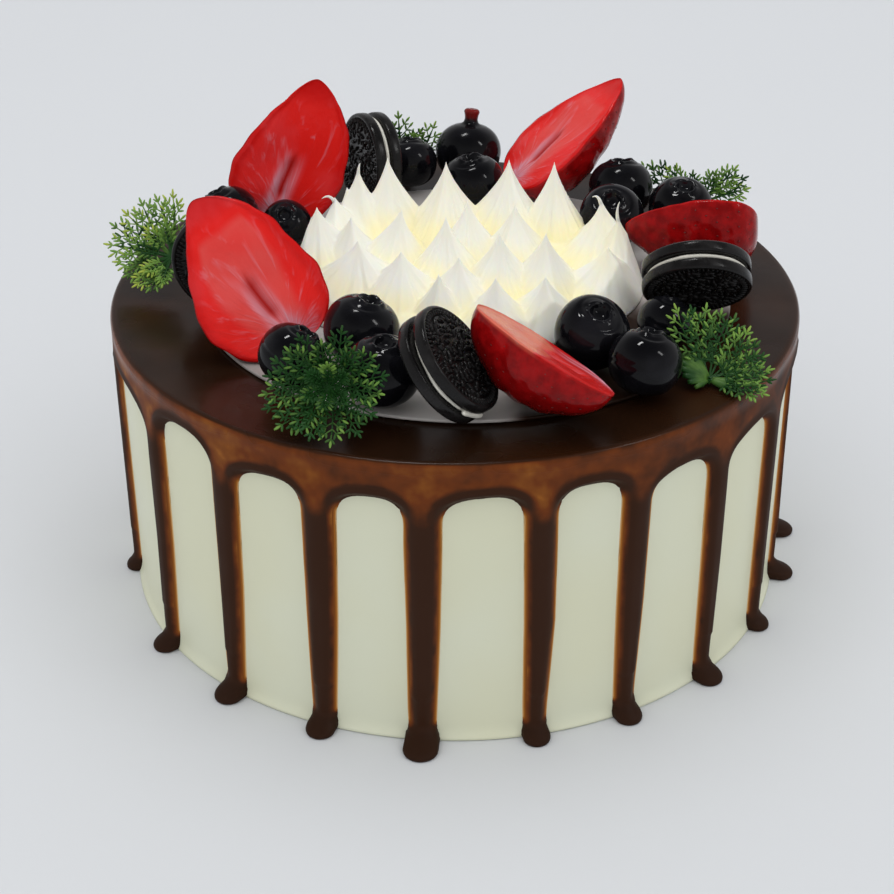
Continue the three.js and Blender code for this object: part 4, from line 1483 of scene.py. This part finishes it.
def build_cookie(index, sizes, wafer_look, filling_look, relief_tree):
    node, place, facing = COOKIES[index]
    settle = place_matrix(place, facing, (0, 0, 1))
    lift = Matrix.Translation((0, 0, (COOKIE_HALF - WAFER_THICK) * MM))
    for order, (side, turn) in enumerate((("front", 0), ("back", math.pi))):
        wafer = turn_profile(f"{node}_{side}", WAFER_PROFILE, wafer_look, sides=96,
            unevenness=0.06, lump=5, seed=index + turn)
        grow(wafer, relief_tree, {
            "Rib Length": sizes.rib_long,
            "Relief Height": sizes.relief_height,
            "Grain Size": sizes.grain_size,
            "Seed": 3 * index + order + 1,
            "Material": wafer_look,
        })
        wafer.data.transform(settle @ Matrix.Rotation(turn, 4, "X") @ lift)
        finish_piece(wafer, [f"{node}_wafer_{side}"])
    profile = [(radius, -height) for radius, height in FILLING_SIDE]
    profile += [(11.3, 0), *FILLING_SIDE[::-1]]
    filling = turn_profile(f"{node}_cream", profile, filling_look, sides=96, unevenness=0.35,
        lump=5, seed=index + 4.0)
    if node == "cookie_front":
        squeeze = build_squeeze(sizes.squeeze_bearing, filling_look)
        # The filling is sunk between the wafers in the upper part
        for point in filling.data.vertices:
            point.co.xy *= 1 - 0.08 * float(smooth(0.5, 5, point.co.y / MM))
        filling = join_piece(f"{node}_cream", [filling, squeeze])
    filling.data.transform(settle)
    finish_piece(filling, [f"{node}_filling"])


def build_cookies(looks, sizes):
    wafer_look, filling_look, tree = wafer_finish(looks), filling_finish(looks), wafer_tree()
    for index in range(len(COOKIES)):
        build_cookie(index, sizes, wafer_look, filling_look, tree)


# Sprigs

# Each sprig: its node's ending, base, the way it faces, its upward direction, how far its tips
# come forward, and its fronds as angles from sideways towards upward and lengths
SPRIGS = (
    ("front", (-25.5, -64, 79.7), (-0.05, -0.857, 0.515), (0, 0.515, 0.857), 4, (
        (74, 12.0), (97, 9.0), (119, 11.6), (137, 11), (154, 12), (170, 12.4), (187, 13.2),
        (201, 13.3), (221, 13), (236, 11), (251, 11), (275, 11.8), (304, 12), (328, 11.6),
        (352, 11.4), (370, 12.4), (393, 11.6), (412, 9.5), (30, 5), (88, 4.6), (145, 5), (205, 5.4),
        (262, 5), (318, 5.4),
    )),
    ("left", (-66, 1.3, 78.6), (-0.3, -0.75, 0.6), (0, 0.6, 0.8), 2.5, (
        (84, 14.4), (101, 13.9), (119, 14.7), (136, 15.3), (152, 16.1), (168, 15.6), (186, 12.8),
        (204, 11.3), (224, 10.4), (244, 9.4), (95, 7.5), (130, 8), (165, 8), (215, 7), (264, 7.5),
    )),
    ("right", (54, -47.9, 72.6), (0.1, -0.5, 0.86), (0, 0.86, 0.5), 4, (
        (118, 16.4), (106, 15), (94, 15.2), (80, 14.2), (67, 14), (49, 12.8), (32, 11.8),
        (16, 11.8), (-1, 12.2), (-13, 12.6), (-31, 12.4),
    )),
    ("back_right", (61.8, 46.2, 72), (0, -0.93, 0.36), (0, 0.36, 0.93), 1.2, (
        (150, 19.4), (140, 15.8), (128, 12), (100, 8), (60, 9.5), (44, 13.6), (31, 14), (19, 13.4),
    )),
    ("back", (-12.5, 67.4, 71.8), (0, -1, 0), (0, 0, 1), 0, (
        (110, 16), (98, 17.2), (84, 12), (74, 13), (62, 16),
    )),
)
# How far the tips of each sprig have turned a fresh light green; the left sprig's high value is
# partly painted light, making it lighter for the light that falls on it
TIP_FRESHNESS_AND_LIGHT = {"front": 0.2, "right": 0.5, "left": 0.95, "back_right": 0.6, "back": 0.6}
# The broad leaves that cup the foot of the right sprig, as angles and sizes
CUP_LEAVES = ((126, 4.2), (138, 4.3), (150, 4.2), (163, 3.8), (178, 3.3), (196, 2.8), (218, 2.3),
    (332, 3.4), (346, 3.8))
CUP_TIP = 0.48
# The pairs of twigs on a frond: where along it, their angle, and their length against the frond's
TWIG_PAIRS = ((0.3, 54, 0.12), (0.45, 52, 0.16), (0.6, 48, 0.2), (0.74, 45, 0.21), (0.88, 40, 0.17))


def leaf_finish(looks):
    """Green that turns lighter towards the tips, and yellow at the freshest of them."""
    finish = Finish("Sprig", 0.45, Specular_IOR_Level=0.2)
    tip = finish.value("tip")
    share = finish.math("ADD", tip, finish.swing(finish.noise(3.2, 2), 0.9), clamp=True)
    green = finish.mix(finish.noise(5, 2), shade(looks.leaf, 0.55), shade(looks.leaf, 1.5))
    fresh = finish.mix(finish.map(share, 0.35, 0.95), green, looks.leaf_tip)
    yellow = shade(looks.leaf_tip, (2.5, 1.6, 1.3))
    finish.set("Base Color", finish.mix(finish.map(tip, 1.0, 1.6), fresh, yellow))
    finish.grain(0.8, 2, 0.03, 0.5)
    return finish.material


def sprig_tree():
    """Thickens a sprig's stems and sets a small rounded lobe on each of its marked points."""
    tree = Tree("Sprig Growth", [
        ("Stem Radius", "Float", 0.0003),
        ("Lobe Length", "Float", 0.0019),
        ("Lobe Width", "Float", 0.0007),
        ("Lobe Thickness", "Float", 0.0004),
        ("Material", "Material", None),
    ])
    given = tree.given
    girth = tree.named("girth", "FLOAT")
    ring = tree.out("GeometryNodeCurvePrimitiveCircle",
        {"Resolution": 5, "Radius": given["Stem Radius"]})
    vines = tree.out("GeometryNodeSetCurveRadius", {
        "Curve": tree.out("GeometryNodeMeshToCurve", {"Mesh": given["Geometry"]}),
        "Radius": girth,
    })
    stems = tree.out("GeometryNodeCurveToMesh", {
        "Curve": vines, "Profile Curve": ring, "Scale": girth, "Fill Caps": True,
    })
    ahead = tree.out("ShaderNodeCombineXYZ", {1: tree.math("MULTIPLY", given["Lobe Length"], 0.4)})
    lobe = tree.bead((given["Lobe Width"], given["Lobe Length"], given["Lobe Thickness"]),
        Translation=ahead)
    swell = tree.named("lobe", "FLOAT")
    marked = tree.out("FunctionNodeCompare", {0: swell, 1: 0.01}, operation="GREATER_THAN")
    points = tree.out("GeometryNodeMeshToPoints", {"Mesh": given["Geometry"], "Selection": marked})
    lobes = tree.out("GeometryNodeInstanceOnPoints",
        {"Points": points, "Instance": lobe, "Rotation": tree.aimed(), "Scale": swell})
    return tree.end(tree.together(lobes, stems))


class Twigs:
    """Gathers the stems and lobes of one sprig in its own plane."""

    def __init__(self, seed):
        self.rng = np.random.default_rng(seed)
        self.points, self.links, self.lobes = [], [], []

    def stem(self, line, girth_from, girth_to, tip):
        first = len(self.points)
        girths = np.linspace(girth_from, girth_to, len(line))
        self.points += [(point, girth, tip) for point, girth in zip(line, girths)]
        self.links += [(first + step, first + step + 1) for step in range(len(line) - 1)]

    def lobe(self, point, way, out, size, tip):
        self.lobes.append((point, way / np.linalg.norm(way), out, size, tip))

    def branch(self, start, way, out, long, tip):
        """A side twig with a lobe at its end and a pair of lobes along it."""
        side = np.cross(out, way)
        end = start + long * way + 0.18 * long * out
        self.stem([start, (start + end) / 2 + 0.08 * long * out, end], 0.8, 0.55, tip)
        self.lobe(end, way, out, 1.0, tip + 0.3)
        spot = start + 0.7 * (end - start)
        for sign in (-1, 1):
            angle = sign * (42 + self.rng.uniform(-8, 8)) * DEG
            ahead = math.cos(angle) * way + math.sin(angle) * side
            ahead = ahead + out * self.rng.uniform(-0.1, 0.35)
            self.lobe(spot, ahead, out, 0.95 * self.rng.uniform(0.85, 1.1), tip)

    def frond(self, angle, reach, forward, tip, first=0):
        """One frond from the base: a stem with twigs in pairs, longest past its middle. One that
        starts from a later pair has a stouter stem."""
        way = np.array([math.cos(angle), math.sin(angle), 0.0])
        out = np.array([0.0, 0.0, 1.0])
        side = np.cross(out, way)
        sway = self.rng.uniform(-0.06, 0.06) * reach
        inner = 0.84 * reach

        def spot(share):
            lift = forward * share ** 1.5
            return way * inner * share + side * sway * math.sin(3 * share) + out * lift

        stout = 1.5 if first else 1
        line = [spot(share) for share in np.linspace(0.03, 1, 8)]
        self.stem(line, 1.35 * stout, 0.7 * stout, 0.25 * stout * tip)
        end = spot(1.0)
        slope = (end - spot(0.9)) / np.linalg.norm(end - spot(0.9))
        face = np.cross(slope, side)
        if face[2] < 0:
            face = -face
        for share, turn, length in TWIG_PAIRS[first:]:
            for sign in (-1, 1):
                swing = sign * (turn + self.rng.uniform(-7, 7)) * DEG
                ahead = math.cos(swing) * slope + math.sin(swing) * side
                size = length * reach * self.rng.uniform(0.85, 1.12)
                self.branch(spot(share), ahead, face, size, tip * (0.3 + 0.7 * share))
        self.branch(end, slope, face, 0.12 * reach, tip)


def build_sprig(index, look, sizes, tree):
    ending, place, facing, up, forward, fronds = SPRIGS[index]
    fresh = TIP_FRESHNESS_AND_LIGHT[ending]
    twigs = Twigs(60 + index)
    for order, (angle, reach) in enumerate(fronds):
        young = float(np.clip(fresh + 0.42 * math.sin(order * 2.4 + index), 0, 1.3))
        twigs.frond(angle * DEG, reach, forward, young, 0 if fresh < 0.6 else 1)
    for angle, size in CUP_LEAVES if ending == "right" else ():
        way = np.array([math.cos(angle * DEG), math.sin(angle * DEG), 0.15])
        twigs.lobe(way * 0.5, way, np.array([0, 0, 1.0]), size, CUP_TIP)
    # A short root straight down
    turn = axes_from(facing, up)
    twigs.stem([np.zeros(3), turn @ (0, 0, -0.9)], 2.2, 2.0, 0)
    points, girths, stem_tips = zip(*twigs.points)
    spots, ways, outs, swells, lobe_tips = zip(*twigs.lobes)
    stems, lobes = len(points), len(spots)
    piece = make_piece(f"sprig_{ending}_greens",
        set_down(points + spots, place, facing, up), links=twigs.links, values={
            "aim": np.concatenate([np.zeros((stems, 3)), ways]) @ turn,
            "out": np.concatenate([np.zeros((stems, 3)), outs]) @ turn,
            "girth": [*girths, *[0] * lobes],
            "lobe": [*[0] * stems, *swells],
            "tip": stem_tips + lobe_tips,
        })
    grow(piece, tree, {
        "Stem Radius": sizes.stem_radius,
        "Lobe Length": sizes.lobe_long,
        "Lobe Width": sizes.lobe_wide,
        "Lobe Thickness": sizes.lobe_thick,
        "Material": look,
    })
    return finish_piece(piece, [f"sprig_{ending}"])


def build_sprigs(looks, sizes):
    look, tree = leaf_finish(looks), sprig_tree()
    for index in range(len(SPRIGS)):
        build_sprig(index, look, sizes, tree)


# Camera, floor and light


def soft_light(name, place, aim, size, power, glint=False):
    """A rectangular light that either lights the scene or only shows as glints on gloss."""
    lamp = bpy.data.lights.new(name, "AREA")
    lamp.shape = "RECTANGLE"
    lamp.size, lamp.size_y = size
    lamp.energy = power
    light = add_object(name, lamp)
    light.location = place
    light.rotation_euler = (Vector(aim) - Vector(place)).to_track_quat("-Z", "Y").to_euler()
    light.visible_camera = False
    light.visible_glossy = glint
    light.visible_diffuse = not glint


# The camera's place in metres, its yaw, pitch and roll in degrees, and its lens in millimetres
CAMERA_PLACE = (0, -0.39559, 0.26232)
CAMERA_TURN = (-0.2806, 30.686, -0.2101)
CAMERA_LENS = 75.02


def build_camera():
    """Stands where the photograph was taken from, with its lens."""
    yaw, pitch, roll = (angle * DEG for angle in CAMERA_TURN)
    ahead = np.array([
        math.sin(yaw) * math.cos(pitch), math.cos(yaw) * math.cos(pitch), -math.sin(pitch),
    ])
    right = np.cross(ahead, (0, 0, 1))
    right /= np.linalg.norm(right)
    up = np.cross(right, ahead)
    turned = right * math.cos(roll) + up * math.sin(roll)
    upper = up * math.cos(roll) - right * math.sin(roll)
    data = bpy.data.cameras.new("camera")
    data.sensor_fit = "HORIZONTAL"
    data.sensor_width = 36
    data.lens = CAMERA_LENS
    data.clip_start = 0.02
    data.clip_end = 20
    camera = add_object("camera", data)
    turn = Matrix(np.stack([turned, upper, -ahead], 1).tolist())
    camera.matrix_world = Matrix.Translation(CAMERA_PLACE) @ turn.to_4x4()
    bpy.context.scene.camera = camera


def build_floor(looks):
    """A wide floor round the cake."""
    line = spaced(-4000, 4000, 400)
    points = np.array([(x, y, 0) for y in line for x in line])
    floor = make_piece("floor", points, [grid_faces(len(line), len(line), around=False)])
    floor.data.materials.append(floor_finish(looks))


# What glossy surfaces see of the room, from straight below to straight above
MIRRORED = ((0.0, 0.6), (0.25, 0.55), (0.5, 0.5), (0.7, 0.28), (1.0, 0.1))


def build_world(looks):
    """Even light from all round, and a calmer gradient in what glossy surfaces reflect."""
    world = bpy.data.worlds.new("Studio")
    bpy.context.scene.world = world
    world.use_nodes = True
    world.node_tree.nodes.clear()
    nodes = Nodes(world.node_tree)
    even = nodes.out("ShaderNodeBackground", {0: (0.985, 0.99, 1.0), 1: looks.ambient})
    way = nodes.add("ShaderNodeTexCoord").outputs["Generated"]
    height = nodes.add("ShaderNodeSeparateXYZ", {0: way}).outputs["Z"]
    stops = [(place, (bright, bright, bright * 1.02)) for place, bright in MIRRORED]
    mirrored = nodes.out("ShaderNodeBackground", {0: nodes.ramp(height, stops)})
    glossy = nodes.add("ShaderNodeLightPath").outputs["Is Glossy Ray"]
    chosen = nodes.out("ShaderNodeMixShader", {0: glossy, 1: even, 2: mirrored})
    nodes.add("ShaderNodeOutputWorld", {0: chosen})


def build_stage(looks):
    """The camera, floor, world and lights: three that light the cake and two for its glints."""
    build_camera()
    build_floor(looks)
    build_world(looks)
    middle, crown = (0, 0, 0.05), (0, 0, 0.09)
    soft_light("key", (-0.9, -0.8, 1.7), middle, (1.1, 1.1), 5.0)
    soft_light("fill", (1.0, -0.6, 1.5), middle, (1.1, 1.1), 4.0)
    soft_light("top", (0.05, 0.35, 1.9), middle, (1.6, 1.2), 7.5)
    soft_light("overhead", (-0.12, 0.16, 1.15), crown, (0.3, 0.1), 3.2, True)
    soft_light("window", (0.75, -0.35, 0.85), crown, (0.12, 0.3), 1.3, True)
    view = bpy.context.scene.view_settings
    view.view_transform = "Standard"
    view.look = "None"


# The add-on


def colour(name, description, default):
    return FloatVectorProperty(
        name=name, description=description, default=default, min=0.0, max=1.0, size=3,
        subtype="COLOR",
    )


def length(name, description, millimetres):
    return FloatProperty(
        name=name, description=description, default=millimetres * MM, min=0.0, unit="LENGTH",
        precision=5,
    )


class CakeColours(PropertyGroup):
    coat: colour("Cream Coat", "Coating on the side of the cake", (0.715, 0.732, 0.57))
    icing: colour("Chocolate", "Chocolate icing on the top", (0.016, 0.0064, 0.0028))
    icing_bead: colour("Chocolate Drips", "Chocolate icing where it has run together",
        (0.036, 0.0115, 0.0035))
    icing_thin: colour("Thin Chocolate", "Chocolate icing where light comes through",
        (0.14, 0.032, 0.0045))
    icing_edge: colour("Chocolate Edge", "The very edge of the chocolate icing",
        (0.38, 0.14, 0.018))
    disc: colour("White Disc", "Thin disc under the toppings", (0.55, 0.52, 0.5))
    cream: colour("Piped Cream", "Peaks of cream", (0.875, 0.87, 0.79))
    # Painted glow: the warmer, brighter colour of the cream low between the peaks
    cream_valley_glow: colour("Cream Valley Glow", "Cream between the peaks", (0.95, 0.88, 0.575))
    skin: colour("Strawberry Skin", "Outside of the strawberries", (0.25, 0.0022, 0.0028))
    flesh: colour("Strawberry Flesh", "Cut face of the strawberries", (0.74, 0.014, 0.011))
    core: colour("Strawberry Core", "Pale middle of the cut faces", (0.64, 0.32, 0.4))
    salmon: colour("Unripe Flesh", "Pale part of the front strawberry", (0.62, 0.16, 0.1))
    seed: colour("Strawberry Seeds", "Seeds in the strawberry skin", (0.15, 0.006, 0.003))
    wafer: colour("Wafer", "Cookie wafers", (0.006, 0.0055, 0.0055))
    filling: colour("Filling", "Cream between the wafers", (0.72, 0.7, 0.62))
    berry: colour("Blueberry", "Skin of the blueberries", (0.003, 0.003, 0.004))
    stem: colour("Blueberry Stem", "Stem of one blueberry", (0.16, 0.012, 0.01))
    leaf: colour("Sprig", "Green of the sprigs", (0.012, 0.057, 0.01))
    leaf_tip: colour("Sprig Tips", "Young tips of the sprigs", (0.16, 0.3, 0.052))
    floor: colour("Floor", "Floor round the cake", (0.655, 0.672, 0.695))
    ambient: FloatProperty(name="Ambient Light", description="Strength of the even light",
        default=0.78, min=0.0, max=5.0)


class IcingSizes(PropertyGroup):
    drip_bulge: length("Drip Bulge", "How far a drip stands off the coating", 1.5)
    bead_height: length("Bead Height", "Extra thickness along the edge of the icing", 0.35)
    rim_round: length("Rim Rounding", "Rounding of the icing's top edge", 0.9)
    icing_unevenness: length("Icing Unevenness", "Slow waves in the icing", 0.12)
    coat_unevenness: length("Coat Unevenness", "Slow waves in the coating", 0.12)
    foot_flare: length("Foot Flare", "How far the coating spreads at its foot", 0.9)


class ToppingSizes(PropertyGroup):
    ridge_depth: FloatProperty(name="Peak Folds", description="How deep the folds of a peak are, "
        "as a share of its width", default=0.26, min=0.0, max=0.5)
    seed_spacing: length("Seed Spacing", "Distance between strawberry seeds", 3.4)
    seed_long: length("Seed Length", "Length of a strawberry seed", 0.55)
    pit_depth: length("Pit Depth", "Depth of the pits that hold the seeds", 0.22)
    crown_height: FloatProperty(name="Crown Height", description="Height of a blueberry's crown, "
        "as a share of its radius", default=0.04, min=0.0, max=0.4)
    crease_depth: FloatProperty(name="Crease Depth", description="Depth of the crease round a "
        "blueberry, as a share of its radius", default=0.035, min=0.0, max=0.2)
    rib_long: length("Rib Length", "Length of the ribs inside a wafer's rim", 1.7)
    relief_height: length("Wafer Relief", "Height of the relief on a wafer", 0.6)
    grain_size: length("Grain Size", "Size of the grains on a wafer", 1.85)
    squeeze_bearing: FloatProperty(name="Squeeze Bearing", description="Where the filling is "
        "pressed out of the front cookie", default=-0.72, subtype="ANGLE", unit="ROTATION")
    stem_radius: length("Stem Radius", "Radius of a sprig's twigs", 0.23)
    lobe_long: length("Lobe Length", "Length of a sprig's lobes", 2.0)
    lobe_wide: length("Lobe Width", "Width of a sprig's lobes", 0.64)
    lobe_thick: length("Lobe Thickness", "Thickness of a sprig's lobes", 0.42)


class CAKE_OT_stage(Operator):
    """Adds the camera, the pale floor and the studio light"""

    bl_idname = "cake.stage"
    bl_label = "Stage"

    def execute(self, context):
        build_stage(context.scene.cake_colours)
        return {"FINISHED"}


class CAKE_OT_coat(Operator):
    """Adds the cream coating of the cake"""

    bl_idname = "cake.coat"
    bl_label = "Cream Coat"

    def execute(self, context):
        build_coat(context.scene.cake_colours, context.scene.cake_icing)
        return {"FINISHED"}


class CAKE_OT_icing(Operator):
    """Adds the chocolate icing with its drips"""

    bl_idname = "cake.icing"
    bl_label = "Chocolate Icing"

    def execute(self, context):
        build_icing(context.scene.cake_colours, context.scene.cake_icing)
        return {"FINISHED"}


class CAKE_OT_disc(Operator):
    """Adds the thin white disc that carries the toppings"""

    bl_idname = "cake.disc"
    bl_label = "White Disc"

    def execute(self, context):
        build_disc(context.scene.cake_colours)
        return {"FINISHED"}


class CAKE_OT_cream(Operator):
    """Adds the field of pulled cream peaks"""

    bl_idname = "cake.cream"
    bl_label = "Cream Peaks"

    def execute(self, context):
        build_cream(context.scene.cake_colours, context.scene.cake_toppings)
        return {"FINISHED"}


class CAKE_OT_strawberries(Operator):
    """Adds the strawberry halves with their seeds"""

    bl_idname = "cake.strawberries"
    bl_label = "Strawberries"

    def execute(self, context):
        build_strawberries(context.scene.cake_colours, context.scene.cake_toppings)
        return {"FINISHED"}


class CAKE_OT_cookies(Operator):
    """Adds the mini sandwich cookies"""

    bl_idname = "cake.cookies"
    bl_label = "Cookies"

    def execute(self, context):
        build_cookies(context.scene.cake_colours, context.scene.cake_toppings)
        return {"FINISHED"}


class CAKE_OT_blueberries(Operator):
    """Adds the blueberries"""

    bl_idname = "cake.blueberries"
    bl_label = "Blueberries"

    def execute(self, context):
        build_blueberries(context.scene.cake_colours, context.scene.cake_toppings)
        return {"FINISHED"}


class CAKE_OT_sprigs(Operator):
    """Adds the green sprigs"""

    bl_idname = "cake.sprigs"
    bl_label = "Sprigs"

    def execute(self, context):
        build_sprigs(context.scene.cake_colours, context.scene.cake_toppings)
        return {"FINISHED"}


class CAKE_PT_panel(Panel):
    """Lists the pieces of the cake and what can be changed about them"""

    bl_label = "Drip Cake"
    bl_idname = "CAKE_PT_panel"
    bl_space_type = "VIEW_3D"
    bl_region_type = "UI"
    bl_category = "Cake"

    def draw(self, context):
        layout = self.layout
        for group in GROUPS:
            settings = getattr(context.scene, group)
            box = layout.box()
            for key in settings.__annotations__:
                box.prop(settings, key)
        for operator in STEPS:
            layout.operator(operator.bl_idname)


GROUPS = {
    "cake_colours": CakeColours,
    "cake_icing": IcingSizes,
    "cake_toppings": ToppingSizes,
}
STEPS = (
    CAKE_OT_stage,
    CAKE_OT_coat,
    CAKE_OT_icing,
    CAKE_OT_disc,
    CAKE_OT_cream,
    CAKE_OT_strawberries,
    CAKE_OT_cookies,
    CAKE_OT_blueberries,
    CAKE_OT_sprigs,
)


def register():
    for group in (*GROUPS.values(), *STEPS, CAKE_PT_panel):
        bpy.utils.register_class(group)
    for key, group in GROUPS.items():
        setattr(bpy.types.Scene, key, PointerProperty(type=group))


def unregister():
    for key in GROUPS:
        delattr(bpy.types.Scene, key)
    for group in (CAKE_PT_panel, *reversed(STEPS), *GROUPS.values()):
        bpy.utils.unregister_class(group)


def main():
    register()
    for step in STEPS:
        family, action = step.bl_idname.split(".")
        getattr(getattr(bpy.ops, family), action)()


if __name__ == "__main__":
    main()
